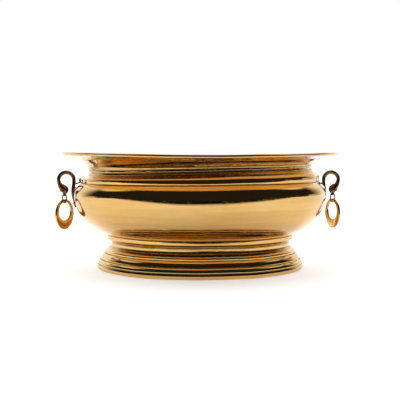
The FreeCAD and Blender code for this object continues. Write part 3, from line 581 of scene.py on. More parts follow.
def handling_marks_group():
    """Thin scratches in three directions and pin-prick pits."""
    tree, given, result = new_group(
        "Handling marks",
        [("Place", "NodeSocketVector", None), ("Scale", "NodeSocketFloat", 60.0)],
        [("Scratches", "NodeSocketFloat"), ("Pits", "NodeSocketFloat")])
    total = 0.0
    for turn, stretch in (((0.3, 0.9, 0.2), 14.0), ((1.2, 0.2, 1.4), 18.0),
                          ((2.2, 1.5, 0.7), 11.0)):
        place = add(tree, "ShaderNodeMapping",
                    {"Vector": given.outputs["Place"], "Rotation": turn,
                     "Scale": (1.0, stretch, stretch)})
        noise = add(tree, "ShaderNodeTexNoise",
                    {"Vector": place.outputs[0], "Scale": given.outputs["Scale"],
                     "Detail": 1.0})
        total = calc(tree, "MAXIMUM", total, ramp(tree, noise.outputs["Fac"], 0.69, 0.76))
    tree.links.new(total, result.inputs["Scratches"])
    fine = calc(tree, "MULTIPLY", given.outputs["Scale"], 9.0)
    cells = add(tree, "ShaderNodeTexVoronoi", {"Vector": given.outputs["Place"], "Scale": fine})
    spread = add(tree, "ShaderNodeTexNoise", {"Vector": given.outputs["Place"], "Scale": 40.0})
    dots = ramp(tree, cells.outputs["Distance"], 0.16, 0.06)
    tree.links.new(calc(tree, "MULTIPLY", dots, ramp(tree, spread.outputs["Fac"], 0.5, 0.7)),
                   result.inputs["Pits"])
    return tree


def crevice_wear_and_shade_group():
    """Grime and painted shade left in recesses and metal rubbed bright on edges, broken up by
    noise.
    """
    tree, given, result = new_group(
        "Crevice wear and shade",
        [("Place", "NodeSocketVector", None), ("Recess", "NodeSocketFloat", 0.0),
         ("Edge", "NodeSocketFloat", 0.0), ("Scale", "NodeSocketFloat", 30.0)],
        [("Grime and shade", "NodeSocketFloat"), ("Bright", "NodeSocketFloat")])
    noise = add(tree, "ShaderNodeTexNoise",
                {"Vector": given.outputs["Place"], "Scale": given.outputs["Scale"],
                 "Detail": 5.0, "Roughness": 0.65})
    patchy = ramp(tree, noise.outputs["Fac"], 0.30, 0.62, 0.35, 1.0)
    tree.links.new(calc(tree, "MULTIPLY", given.outputs["Recess"], patchy, True),
                   result.inputs["Grime and shade"])
    tree.links.new(calc(tree, "MULTIPLY", given.outputs["Edge"], patchy, True),
                   result.inputs["Bright"])
    return tree


GROUPS = {
    "Polish lines": polish_lines_group,
    "Tarnish clouds": tarnish_clouds_group,
    "Handling marks": handling_marks_group,
    "Crevice wear and shade": crevice_wear_and_shade_group,
}


def place_group(tree, name, inputs):
    """Puts a shared group into a material, building the group the first time."""
    shared = bpy.data.node_groups.get(name) or GROUPS[name]()
    made = tree.nodes.new("ShaderNodeGroup")
    made.node_tree = shared
    feed(tree, made, inputs)
    return made.outputs


# ---- Metals

PIT_STAIN = 0.5
# Least and most darkening of the inner walls towards the dark colour.
INSIDE_LEAST_DARK, INSIDE_MOST_DARK = 0.25, 0.8
BAND_DARKEST = 0.90
SCRATCH_ROUGH, RUBBED_SMOOTH = 0.08, 0.04
SCRATCH_DEPTH, SMUDGE_HEIGHT = 0.5, 0.6    # shares of the bump's reach
BUMP_REACH = 0.00003                       # m


def metal(name, bright, cloudy, dark, polish, clouds=12.0, cloud_share=0.6, grime_and_shade_share=0.9,
          smudge=0.07, lines=0.15, dull=0.5):
    """One finish: its colours, its cleanest roughness, and how strong each effect is."""
    name = "worn_and_shaded_" + name
    if name in bpy.data.materials:
        return bpy.data.materials[name]
    material = bpy.data.materials.new(name)
    material.use_nodes = True
    tree = material.node_tree
    tree.nodes.clear()
    place = add(tree, "ShaderNodeTexCoord")
    spot = place.outputs["Object"]
    along = add(tree, "ShaderNodeSeparateXYZ", {0: place.outputs["UV"]}).outputs[1]
    recess, edge, inside = (
        add(tree, "ShaderNodeAttribute", attribute_name=mask).outputs["Fac"]
        for mask in ("recess", "edge", "inside"))
    polishing = place_group(tree, "Polish lines", {"Place": spot, "Along": along})
    tarnish = place_group(tree, "Tarnish clouds", {"Place": spot, "Scale": clouds})
    marks = place_group(tree, "Handling marks", {"Place": spot})
    wear = place_group(tree, "Crevice wear and shade", {"Place": spot, "Recess": recess, "Edge": edge})

    # Painted shade: the recess mask darkens creases towards the dark colour, grime and painted
    # shade together.
    grime_and_shade = calc(tree, "MULTIPLY", wear["Grime and shade"], grime_and_shade_share)
    # Inner walls are darkened towards the dark colour, more where the clouds are strong.
    inner_darkening = calc(tree, "MULTIPLY", inside, ramp(tree, tarnish["Clouds"], 0, 1, INSIDE_LEAST_DARK,
                                                 INSIDE_MOST_DARK))
    darkening = calc(tree, "MAXIMUM", grime_and_shade, inner_darkening)
    spots = calc(tree, "MULTIPLY", marks["Pits"], PIT_STAIN)
    darkening = calc(tree, "MAXIMUM", darkening, spots)
    colour = blend_colours(tree, calc(tree, "MULTIPLY", tarnish["Clouds"], cloud_share),
                           rgba(bright), rgba(cloudy))
    banded = ramp(tree, polishing["Bands"], 0.3, 0.7, BAND_DARKEST, 1.0)
    colour = add(tree, "ShaderNodeVectorMath", {0: colour, 3: banded},
                 operation="SCALE").outputs[0]
    # Blends towards the dark colour: grime and painted shade in recesses, the darker inner walls
    # and the pits.
    colour = blend_colours(tree, darkening, colour, rgba(dark))

    rough = ramp(tree, tarnish["Smudges"], 0, 1, polish, polish + smudge)
    rough = calc(tree, "ADD", rough, calc(tree, "MULTIPLY", darkening, dull))
    rough = calc(tree, "ADD", rough, calc(tree, "MULTIPLY", marks["Scratches"],
                                           SCRATCH_ROUGH))
    rough = calc(tree, "SUBTRACT", rough, calc(tree, "MULTIPLY", wear["Bright"],
                                                RUBBED_SMOOTH), True)

    scored = calc(tree, "MULTIPLY", polishing["Lines"], lines)
    scored = calc(tree, "SUBTRACT", scored, calc(tree, "MULTIPLY", marks["Scratches"],
                                                  SCRATCH_DEPTH))
    scored = calc(tree, "SUBTRACT", scored, marks["Pits"])
    scored = calc(tree, "ADD", scored, calc(tree, "MULTIPLY", tarnish["Smudges"],
                                             SMUDGE_HEIGHT))
    bump = add(tree, "ShaderNodeBump", {"Strength": 1.0, "Distance": BUMP_REACH,
                                        "Height": scored})
    shader = add(tree, "ShaderNodeBsdfPrincipled",
                 {"Base Color": colour, "Roughness": rough, "Metallic": 1.0,
                  "Normal": bump.outputs["Normal"]})
    output = tree.nodes.new("ShaderNodeOutputMaterial")
    tree.links.new(shader.outputs["BSDF"], output.inputs["Surface"])
    return material


def polished_brass():
    """Bright yellow brass of bowl, collar and foot."""
    finish = bpy.context.scene.urli_finish
    return metal("polished_brass", finish.brass, finish.warm_brass, finish.patina_and_shade,
                 finish.polish)


def aged_brass():
    """Dark brass of handles and links."""
    finish = bpy.context.scene.urli_finish
    return metal("aged_brass", finish.aged_brass, [c * 0.45 for c in finish.aged_brass],
                 [c * 0.3 for c in finish.patina_and_shade], finish.polish + 0.12, clouds=70.0,
                 cloud_share=0.8, smudge=0.18, lines=0.1)


def ring_brass():
    """Rubbed brass of the rings."""
    finish = bpy.context.scene.urli_finish
    return metal("ring_brass", finish.brass, [c * 0.75 for c in finish.warm_brass],
                 finish.patina_and_shade, finish.polish + 0.06, clouds=60.0, cloud_share=0.5, lines=0.1)


def rivet_metal():
    """Dull grey metal of rivets and roves."""
    finish = bpy.context.scene.urli_finish
    return metal("grey_rivet_metal", finish.rivet_grey, [c * 0.6 for c in finish.rivet_grey],
                 finish.patina_and_shade, 0.34, clouds=150.0, smudge=0.2, lines=0.1)


# ---- Turned shells

TURNED_AWAY = -0.05    # an outline that faces the axis more than this is an inner wall
LIP_REACH = 8.0        # mm, the lip is left out


def inside_mask(places):
    """1 on an outline's inner wall: where it faces the axis, or up inside the dished bottom."""
    ahead = np.gradient(places, axis=0)
    facing = np.stack([ahead[:, 1], -ahead[:, 0]], 1)
    facing /= np.maximum(np.hypot(*facing.T), 1e-9)[:, None]
    radius, height = places.T
    inward = (facing[:, 0] < TURNED_AWAY) | ((facing[:, 1] > 0) & (height < FOOT_TOP)
                                             & (radius < FOOT_BORE))
    return (inward & (radius < RIM_RADIUS - LIP_REACH)).astype(float)[:, None]


def shell(name, outline, count, slot, node_name, extra=None, closed=True):
    """A turned shell with hand-made unevenness, standing for one CAD node."""
    settings = bpy.context.scene.urli_shape
    places, along, bend = worn(trace(outline), settings.wear / MM, count, closed)
    masks = crevice_masks(bend)
    masks["inside"] = inside_mask(places)
    poles = None
    if not closed:
        poles = [(0, 0, places[0, 1]), (0, 0, places[-1, 1])]
        places, along = places[1:-1], along[1:-1]
        masks = {key: values[1:-1] for key, values in masks.items()}
    grid = turned(places, settings.around)
    if extra:
        grid = extra(grid)
    grid = hand_made(grid, settings)
    piece = make_mesh(name, grid, along, rows_closed=closed, poles=poles, masks=masks)
    finish_piece(piece, "bowl", slot, polished_brass(), node_name)
    return piece


# Turns round the neck, phase, and swell in mm.
BEAD_WAVES = ((31, 0.4, 0.16), (47, 2.1, 0.14), (83, 1.2, 0.12), (9, 0.7, 0.12))
BEAD_MIDDLE, BEAD_REACH, BEAD_DEPTH = 1.1, 1.0, 0.5


def uneven_bead(grid):
    """Lets the bead over the seam swell and thin along its length."""
    angle = np.arctan2(grid[..., 1], grid[..., 0])
    radius = np.hypot(grid[..., 0], grid[..., 1])
    swell = sum(strength * np.cos(turns * angle + phase)
                for turns, phase, strength in BEAD_WAVES)
    share = (np.exp(-((grid[..., 2] - SEAM - BEAD_MIDDLE) / BEAD_REACH) ** 2)
             * (radius > NECK - BEAD_DEPTH))
    scale = 1 + swell * share / radius
    return np.stack([grid[..., 0] * scale, grid[..., 1] * scale, grid[..., 2]], -1)


class URLI_OT_rim_collar(bpy.types.Operator):
    """Adds the flared rim collar with its rounded lip and seam bead"""
    bl_idname = "urli.rim_collar"
    bl_label = "Rim collar"

    def execute(self, context):
        shell("rim_collar_skin", rim_outline(), 170, "polished_brass", "rim_collar",
              uneven_bead)
        return {"FINISHED"}


class URLI_OT_bowl_body(bpy.types.Operator):
    """Adds the bowl: shoulder, belly and dished bottom"""
    bl_idname = "urli.bowl_body"
    bl_label = "Bowl body"

    def execute(self, context):
        shell("bowl_body_skin", bowl_outline(), 300, "polished_brass", "bowl_body",
              closed=False)
        return {"FINISHED"}


class URLI_OT_foot_pedestal(bpy.types.Operator):
    """Adds the hollow stepped foot"""
    bl_idname = "urli.foot_pedestal"
    bl_label = "Foot pedestal"

    def execute(self, context):
        shell("foot_pedestal_skin", foot_outline(), 250, "polished_brass", "foot_pedestal")
        return {"FINISHED"}


# ---- Handles

def spline(stations, count):
    """Smooth rows through stations: each value is a Catmull-Rom curve of distance along.

    Returns count rows with the same columns as the stations.
    """
    stations = np.array(stations, float)
    padded = np.concatenate([[2 * stations[0] - stations[1]], stations,
                             [2 * stations[-1] - stations[-2]]])
    run = run_along(stations[:, :2])
    at = np.linspace(0, run[-1], count)
    k = np.clip(np.searchsorted(run, at, "right") - 1, 0, len(run) - 2)
    s = ((at - run[k]) / (run[k + 1] - run[k]))[:, None]
    a, b, c, d = (padded[k + n] for n in range(4))
    return 0.5 * (2 * b + (c - a) * s + (2 * a - 5 * b + 4 * c - d) * s ** 2
                  + (3 * b - a - 3 * c + d) * s ** 3)


def capped(rows, reach):
    """Adds quarter-round ends: sizes shrink as the root of one less the squared share."""
    share = np.array([0.98, 0.9, 0.75, 0.5, 0.25])
    size = np.sqrt(1 - share ** 2)[:, None]

    def end(row, away):
        extra = np.repeat(row[None], len(share), 0)
        extra[:, :3] += away * share[:, None] * reach
        extra[:, 3:] *= size
        return extra

    start = end(rows[0], unit(rows[0, :3] - rows[1, :3]))
    stop = end(rows[-1], unit(rows[-1, :3] - rows[-2, :3]))[::-1]
    return np.concatenate([start, rows, stop])


def swept(rows, side, columns, flat=2.0):
    """Carries a rounded section along rows of (x, y, z, half width, half depth).

    At angle t the section is width cos t across the path and depth sin t along side, squared
    up by flat.
    """
    centre, width, depth = rows[:, :3], rows[:, 3:4], rows[:, 4:5]
    ahead = unit(np.gradient(centre, axis=0))
    across = unit(np.cross(side, ahead))
    beside = np.cross(ahead, across)
    c, s = squared(even_turns(columns), flat)
    return (centre[:, None] + across[:, None] * (width * c)[..., None]
            + beside[:, None] * (depth * s)[..., None])


# Stations of the swan: distance from the axis, height, half width, half depth.
SWAN = [
    (198.2, 106.0, 1.0, 1.3), (199.4, 110.5, 1.5, 1.7), (200.0, 116.0, 1.9, 2.1),
    (199.7, 123.0, 2.4, 2.5), (198.2, 131.0, 2.8, 2.8),
]
SWAN_HEAD = [
    (219.4, 130.2, 3.9, 3.4), (216.0, 126.4, 5.7, 4.2), (213.2, 122.8, 6.9, 4.8),
    (212.2, 120.0, 6.0, 4.4), (212.0, 117.9, 3.9, 3.3),
]
LOOP_MIDDLE = (209.8, 138.0)
LOOP_RADIUS = 11.8
NECK_WIRE = 2.9
EYE_HEIGHT = JOINTS["link_swing_right"]["pos_m"][2] / MM
HANG = JOINTS["link_swing_right"]["pos_m"][0] / MM


def swan_rows():
    """Rows along the swan from its tail over the loop to the root of the bill."""
    angle = np.radians(np.linspace(172, -8, 9))
    loop = np.stack([LOOP_MIDDLE[0] + LOOP_RADIUS * np.cos(angle),
                     LOOP_MIDDLE[1] + LOOP_RADIUS * np.sin(angle),
                     np.full(9, NECK_WIRE), np.full(9, NECK_WIRE)], 1)
    flat = spline(np.concatenate([SWAN, loop, SWAN_HEAD]), 190)
    rows = np.zeros((len(flat), 5))
    rows[:, (0, 2, 3, 4)] = flat
    return capped(rows, 2.0)


def mirrored(grid, sign):
    """A right-hand grid put on the side of sign; the left is a mirror image in X, its columns
    taken backwards so that faces still look outwards."""
    if sign > 0:
        return grid
    return (grid * (-1, 1, 1))[:, ::-1]


# Depth in mm that the file left on each kind of piece.
FILED_NECK, FILED_LEAF, FILED_DISC, FILED_LINK, FILED_RING = 0.06, 0.05, 0.04, 0.015, 0.07
FILE_STROKES = 14
FILE_SPREAD = 0.35     # radians of a stroke per mm


def filed(points, seed, depth):
    """Moves points by slow waves in all three directions, as a file leaves a casting."""
    generator = np.random.default_rng(seed)
    shift = np.zeros_like(points)
    for _ in range(FILE_STROKES):
        way = generator.normal(0, FILE_SPREAD, 3)
        shift += (depth * np.cos(points @ way + generator.uniform(0, 6.3)))[..., None] \
            * generator.normal(0, 0.4, 3)
    return points + shift


# The swan's own eye: distance from the axis and height, then depth, radius and raised lip.
SOCKET = (214.4, 122.4)
SOCKET_DEPTH, SOCKET_RADIUS = 0.7, 1.1
SOCKET_LIP, SOCKET_EDGE, SOCKET_SOFT = 0.22, 1.9, 0.6
# Reach of the grime and painted shade that darken the eye socket.
SOCKET_GRIME_AND_SHADE = 1.3
CHEEK = 1.0


def swan_neck(name, sign, seed):
    """Neck and head of one swan, with a drilled eye on each side of the head."""
    rows = swan_rows()
    grid = swept(rows, np.array([0, 1.0, 0]), 40)
    gap = np.hypot(grid[..., 0] - SOCKET[0], grid[..., 2] - SOCKET[1])
    push = (SOCKET_LIP * np.exp(-((gap - SOCKET_EDGE) / SOCKET_SOFT) ** 2)
            - SOCKET_DEPTH * np.exp(-(gap / SOCKET_RADIUS) ** 2))
    grid[..., 1] += np.sign(grid[..., 1]) * push * (np.abs(grid[..., 1]) > CHEEK)
    # The recess mask darkens the eye socket: grime and painted shade.
    recess = np.exp(-(gap / SOCKET_GRIME_AND_SHADE) ** 2)
    grid = filed(grid, seed, FILED_NECK)
    along = run_along(rows[:, :3])
    grid = mirrored(grid, sign)
    masks = {"recess": recess if sign > 0 else recess[:, ::-1]}
    poles = (grid[0].mean(0), grid[-1].mean(0))
    return make_mesh(name, grid, along, poles=poles, masks=masks)


def join_pieces(name, parts):
    """One object from several closed meshes."""
    with bpy.context.temp_override(active_object=parts[0], selected_editable_objects=parts,
                                   selected_objects=parts, object=parts[0]):
        bpy.ops.object.join()
    parts[0].name = name
    return parts[0]


DISC_WEAR, DISC_ROWS = 0.12, 44
SMALL_BEND = 0.4       # small pieces bend tightly all over, so their masks are held back


def disc(name, centre, axis, outline, columns=40, seed=3):
    """A small turned piece: an open outline of (radius, height) from its own axis to its axis
    again, set on a centre with its height along axis."""
    places, along, bend = worn(trace(outline), DISC_WEAR, DISC_ROWS, False)
    grid = turned(places[1:-1], columns)
    axis = unit(axis)
    across = np.cross((0, 1.0, 0), axis)
    beside = np.cross(axis, across)
    frame_rows = np.stack([across, beside, axis])
    ends = np.array([(0, 0, places[0, 1]), (0, 0, places[-1, 1])])
    grid = filed(grid, seed, FILED_DISC)
    masks = {key: values[1:-1] for key, values in crevice_masks(bend * SMALL_BEND).items()}
    return make_mesh(name, grid @ frame_rows + centre, along[1:-1],
                     poles=ends @ frame_rows + centre, masks=masks)


def ring_band(name, centre, axis, rows_radius, half_width, half_thick, columns=28, count=64,
              flat=2.4):
    """A closed band about an axis: the section is carried once round a circle."""
    axis = unit(axis)
    first = unit(np.cross(axis, (0, 0, 1.0)))
    second = np.cross(axis, first)
    angle = even_turns(count)
    spoke = first * np.cos(angle)[:, None] + second * np.sin(angle)[:, None]
    c, s = squared(even_turns(columns), flat)
    grid = (np.array(centre) + spoke[:, None] * (rows_radius + half_width * c)[:, None]
            - axis * (half_thick * s)[:, None])
    return make_mesh(name, grid, angle * rows_radius, rows_closed=True)


def belly_place(height, proud):
    """Point (x, 0, z) of the belly's outside at a height, moved out along its normal."""
    curve = BELLY_UPPER if height > BELLY_HEIGHT else BELLY_LOWER
    slope = math.asin((height - BELLY_HEIGHT) / curve)
    return np.array([BELLY_RADIUS - curve + (curve + proud) * math.cos(slope), 0,
                     BELLY_HEIGHT + (curve + proud) * math.sin(slope)])


LEAF_TOP, LEAF_FOOT = 127.0, 95.0
LEAF_HALF = 7.5
LEAF_THICK = 2.6
LEAF_ROWS, LEAF_COLUMNS, LEAF_SHORT = 60, 48, 0.3
LEAF_POWER, LEAF_LEAST, LEAF_POINT = 0.9, 0.15, 1.6
LEAF_SQUARE, LEAF_CAMBER = 3.2, 0.45
SPINE_HEIGHT, SPINE_REACH = 0.5, 1.2
# Grooves beside the spine: distance from the middle, reach, and strength of the grime and painted
# shade in them.
GROOVE, GROOVE_REACH, GROOVE_GRIME_AND_SHADE = 2.2, 0.7, 0.8
LOWER_RIVET = 102.0
UPPER_RIVET = 137.3
PAD_HEIGHT = 137.5
PAD_RADIUS, PAD_THICK = 3.5, 2.4
PAD_BEVEL, PAD_ROUND, PAD_GAP = 0.6, 0.7, 0.05
ARM_START, ARM_END = 134.4, 131.0
ARM_RADIUS = 1.1
ARM_ROWS, ARM_CAP = 12, 0.6
EYE_RADIUS, EYE_HALF_WIDTH, EYE_HALF_THICK = 2.55, 0.75, 1.5    # the eye in the bill
HANDLE_SEEDS = {"left": 23, "right": 11}


def leaf(name, sign, seed):
    """Pointed leaf on the belly: a section whose half width is that of two arcs meeting at
    the points, with a low spine down its middle, bent round the belly."""
    height = np.linspace(LEAF_FOOT + LEAF_SHORT, LEAF_TOP - LEAF_SHORT, LEAF_ROWS)
    share = (height - (LEAF_TOP + LEAF_FOOT) / 2) / ((LEAF_TOP - LEAF_FOOT) / 2)
    half = LEAF_HALF * (1 - share ** 2) ** LEAF_POWER + LEAF_LEAST
    c, s = squared(-even_turns(LEAF_COLUMNS), LEAF_SQUARE)
    sideways = half[:, None] * c
    thin = LEAF_THICK / 2 * np.minimum(1, half / LEAF_POINT)[:, None]
    spine = SPINE_HEIGHT * np.exp(-(sideways / SPINE_REACH) ** 2) * (s > 0)
    proud = thin * (1 + s * (1 - LEAF_CAMBER * (sideways / LEAF_HALF) ** 2)) + spine
    curve = np.where(height > BELLY_HEIGHT, BELLY_UPPER, BELLY_LOWER)[:, None]
    slope = np.arcsin((height[:, None] - BELLY_HEIGHT) / curve)
    radius = BELLY_RADIUS - curve + (curve + proud) * np.cos(slope)
    level = BELLY_HEIGHT + (curve + proud) * np.sin(slope)
    angle = sideways / BELLY_RADIUS
    grid = np.stack([radius * np.cos(angle), radius * np.sin(angle), level], -1)
    grid = filed(grid, seed, FILED_LEAF)
    # The recess mask darkens the grooves: grime and painted shade.
    recess = (np.exp(-((np.abs(sideways) - GROOVE) / GROOVE_REACH) ** 2) * (s > 0)
              * GROOVE_GRIME_AND_SHADE)
    grid = mirrored(grid, sign)
    masks = {"recess": recess if sign > 0 else recess[:, ::-1]}
    return make_mesh(name, grid, height, poles=(grid[0].mean(0), grid[-1].mean(0)),
                     masks=masks)


class URLI_OT_swan_handles(bpy.types.Operator):
    """Adds a swan-neck handle at each side: neck, head, bill eye, arm, pad and leaf"""
    bl_idname = "urli.swan_handles"
    bl_label = "Swan handles"

    def execute(self, context):
        for label, sign in SIDES.items():
            name = "swan_handle_" + label + "_skin"
            across = np.array([sign, 0, 0])
            seed = HANDLE_SEEDS[label]
            axis = np.array(JOINTS["link_swing_" + label]["axis"])
            eye = (sign * HANG, 0, EYE_HEIGHT)
            pad_foot = np.array([sign * (RISER + PAD_GAP), 0, PAD_HEIGHT])
            arm_start = np.array([sign * (RISER + PAD_THICK * 0.5), 0, ARM_START])
            arm_end = np.array([sign * (LOOP_MIDDLE[0] - LOOP_RADIUS), 0, ARM_END])
            share = np.linspace(0, 1, ARM_ROWS)[:, None]
            arm = np.concatenate([arm_start + (arm_end - arm_start) * share,
                                  np.full((ARM_ROWS, 2), ARM_RADIUS)], 1)
            arm_grid = swept(capped(arm, ARM_CAP), np.array([0, 1.0, 0]), 24)
            parts = [
                swan_neck(name, sign, seed),
                leaf(name + "_leaf", sign, seed + 1),
                ring_band(name + "_eye", eye, axis, EYE_RADIUS, EYE_HALF_WIDTH, EYE_HALF_THICK),
                disc(name + "_pad", pad_foot, across,
                     [(0, 0), (PAD_RADIUS, 0), (PAD_RADIUS, PAD_THICK - PAD_BEVEL),
                      (PAD_RADIUS - PAD_BEVEL, PAD_THICK, PAD_ROUND), (0, PAD_THICK)]),
                make_mesh(name + "_arm", arm_grid, np.arange(len(arm_grid)) * 0.8,
                          poles=(arm_grid[0].mean(0), arm_grid[-1].mean(0))),
            ]
            piece = join_pieces(name, parts)
            finish_piece(piece, "bowl", "aged_brass", aged_brass(), "swan_handle_" + label)
        return {"FINISHED"}


# ---- Links and rings

def hanging_frame(label):
    """Across and normal of the plane that a side's ring lies in, from the joints."""
    return (unit(JOINTS["ring_swing_" + label]["axis"]),
            unit(JOINTS["link_swing_" + label]["axis"]))


def facing_out(grid, centre):
    """The grid, its columns turned round where its faces would look inwards."""
    edge_a = grid[0, 1] - grid[0, 0]
    edge_b = grid[1, 0] - grid[0, 0]
    away = grid[0, 0] - centre
    return grid if np.dot(np.cross(edge_a, edge_b), away) > 0 else grid[:, ::-1]


UP = np.array([0, 0, 1.0])
LINK_BEND = 3.75
LINK_WIRE = 1.0
LINK_ROWS, LEG_STRAIGHT = 96, 3
LINK_SEEDS = {"left": 37, "right": 31}


class URLI_OT_hanging_links(bpy.types.Operator):
    """Adds the oval wire link in each swan's bill"""
    bl_idname = "urli.hanging_links"
    bl_label = "Hanging links"

    def execute(self, context):
        for label in SIDES:
            low, high = span("hanging_link_" + label)
            middle = (low + high) / 2
            leg = (high[2] - low[2]) / 2 - LINK_WIRE - LINK_BEND
            across_plane, in_plane = hanging_frame(label)
            turn = even_turns(LINK_ROWS)
            lift = np.sin(turn)
            centre = (middle + in_plane * (LINK_BEND * np.cos(turn))[:, None]
                      + UP * (LINK_BEND * lift + leg * np.tanh(LEG_STRAIGHT * lift))[:, None])
            ahead = unit(np.roll(centre, -1, 0) - np.roll(centre, 1, 0))
            out = np.cross(across_plane, ahead)
            tube = even_turns(20)
            grid = (centre[:, None] + out[:, None] * (LINK_WIRE * np.cos(tube))[:, None]
                    + across_plane * (LINK_WIRE * np.sin(tube))[:, None])
            grid = facing_out(filed(grid, LINK_SEEDS[label], FILED_LINK), centre[0])
            piece = make_mesh("hanging_link_" + label + "_skin", grid,
                              np.arange(LINK_ROWS) * 0.4, rows_closed=True)
            finish_piece(piece, "link_" + label, "aged_brass", aged_brass(),
                         "hanging_link_" + label)
        return {"FINISHED"}


RING_THICK = 4.4
RING_TOP = 4.8
BORE_WIDE, BORE_HIGH = 16.6, 14.25
RING_ROWS, RING_COLUMNS, RING_SQUARE = 160, 36, 2.7
EDGE_RUB = 1.6
RING_SEEDS = {"left": 57, "right": 51}


class URLI_OT_crescent_rings(bpy.types.Operator):
    """Adds the crescent ring in each link"""
    bl_idname = "urli.crescent_rings"
    bl_label = "Crescent rings"

    def execute(self, context):
        for label in SIDES:
            low, high = span("ring_" + label)
            middle = (low + high) / 2
            outer = (high[2] - low[2]) / 2
            across, normal = hanging_frame(label)
            turn = even_turns(RING_ROWS)
            lift = outer - RING_TOP - BORE_HIGH
            outside = np.stack([outer * np.cos(turn), outer * np.sin(turn)], 1)
            bore = np.stack([BORE_WIDE * np.cos(turn), lift + BORE_HIGH * np.sin(turn)], 1)
            mean = (outside + bore) / 2
            half = (outside - bore) / 2
            c, s = squared(even_turns(RING_COLUMNS), RING_SQUARE)
            flat_places = mean[:, None] + half[:, None] * c[None, :, None]
            thick = RING_THICK / 2 * s
            grid = (middle + across * flat_places[..., :1] + UP * flat_places[..., 1:]
                    + normal * thick[None, :, None])
            grid = facing_out(filed(grid, RING_SEEDS[label], FILED_RING),
                              middle + across * mean[0, 0] + UP * mean[0, 1])
            edge = np.abs(c * s)[None, :] * EDGE_RUB
            piece = make_mesh("ring_" + label + "_skin", grid, np.arange(RING_ROWS) * 0.8,
                              rows_closed=True, masks={"edge": edge})
            finish_piece(piece, "ring_" + label, "ring_brass", ring_brass(), "ring_" + label)
        return {"FINISHED"}


# ---- Rivets and roves

HEAD_RADIUS, HEAD_HEIGHT = 2.0, 1.5
TAIL_RADIUS, TAIL_HEIGHT = 2.0, 1.3
SHANK = 1.4
ROVE_RADIUS, ROVE_BORE, ROVE_THICK = 2.9, 1.45, 1.2
SEAT_GAP = 0.15
ROVE_SQUARE = 3.0


def dome(radius, height):
    """Radius of the arc of a dome from its foot radius and height."""
    return (radius ** 2 + height ** 2) / (2 * height)


class URLI_OT_rivets(bpy.types.Operator):
    """Adds the domed rivets and the roves under their hammered ends"""
    bl_idname = "urli.rivets"
    bl_label = "Rivets and roves"

    def execute(self, context):
        lower_slope = math.asin((LOWER_RIVET - BELLY_HEIGHT) / BELLY_LOWER)
        seats = {"upper": (np.array([RISER, 0, UPPER_RIVET]), 0.0, PAD_THICK),
                 "lower": (belly_place(LOWER_RIVET, 0), lower_slope, LEAF_THICK)}
        foot = WALL + SEAT_GAP + ROVE_THICK
        for label, sign in SIDES.items():
            for level, (seat, slope, plate) in seats.items():
                flip = np.array([sign, 1, 1])
                outwards = np.array([math.cos(slope), 0, math.sin(slope)])
                axis = outwards * flip
                outline = [
                    (0, -foot - TAIL_HEIGHT),
                    (TAIL_RADIUS, -foot, dome(TAIL_RADIUS, TAIL_HEIGHT)), (SHANK, -foot),
                    (SHANK, plate), (HEAD_RADIUS, plate),
                    (0, plate + HEAD_HEIGHT, dome(HEAD_RADIUS, HEAD_HEIGHT)),
                ]
                name = level + "_rivet_" + label
                rivet = disc(name + "_skin", seat * flip, axis, outline, seed=len(name))
                finish_piece(rivet, "bowl", "grey_rivet_metal", rivet_metal(), name)
                rove = ring_band(level + "_rove_" + label + "_skin",
                                 (seat - outwards * (foot - ROVE_THICK / 2)) * flip, axis,
                                 (ROVE_RADIUS + ROVE_BORE) / 2, (ROVE_RADIUS - ROVE_BORE) / 2,
                                 ROVE_THICK / 2, flat=ROVE_SQUARE)
                finish_piece(rove, "bowl", "grey_rivet_metal", rivet_metal(),
                             level + "_rove_" + label)
        return {"FINISHED"}


# ---- Stage

FLOOR_FRONT, FLOOR_BACK, FLOOR_SIDE = -0.85, 7.0, 5.0
FADE_START, FADE_END = -0.44, -0.62
PAPER, PAPER_ROUGH = 0.9, 0.9
REFLECTED_GLOW, SEEN_GLOW = 0.50, 0.62


def floor_material():
    """Matt white paper; in reflections it fades out towards the front, where no light falls."""
    material = bpy.data.materials.new("white_paper")
    material.use_nodes = True
    tree = material.node_tree
    place = add(tree, "ShaderNodeSeparateXYZ",
                {0: add(tree, "ShaderNodeTexCoord").outputs["Object"]}).outputs[1]
    direct = add(tree, "ShaderNodeLightPath").outputs["Is Camera Ray"]
    fade = calc(tree, "MAXIMUM", direct, ramp(tree, place, FADE_END, FADE_START))
    shader = tree.nodes["Principled BSDF"]
    white = add(tree, "ShaderNodeCombineColor",
                {key: calc(tree, "MULTIPLY", fade, PAPER) for key in ("Red", "Green", "Blue")})
    tree.links.new(white.outputs["Color"], shader.inputs["Base Color"])
    glow = calc(tree, "MULTIPLY", fade, ramp(tree, direct, 0, 1, REFLECTED_GLOW,
                                              SEEN_GLOW))
    tree.links.new(glow, shader.inputs["Emission Strength"])
    shader.inputs["Roughness"].default_value = PAPER_ROUGH
    shader.inputs["Specular IOR Level"].default_value = 0.0
    shader.inputs["Emission Color"].default_value = (1, 1, 1, 1)
    return material


# Light by direction, as (start, full) of a smooth step on a share of the direction.
BACKDROP = (0.42, 0.80)                      # level part that points back
HORIZON, HORIZON_BACK, HORIZON_LIGHT = (0.10, 0.02), (0.30, 0.35), 0.55
OVERHEAD_Y, OVERHEAD_Z, OVERHEAD = 0.34, 0.94, (0.70, 0.95)
BOX_X, BOX_Y, BOX_Z, BOX = 0.58, 0.33, 0.74, (0.93, 0.98)
LEAST_LEVEL = 0.05
SOFT_LIGHT = 2.1                             # strength for matt surfaces


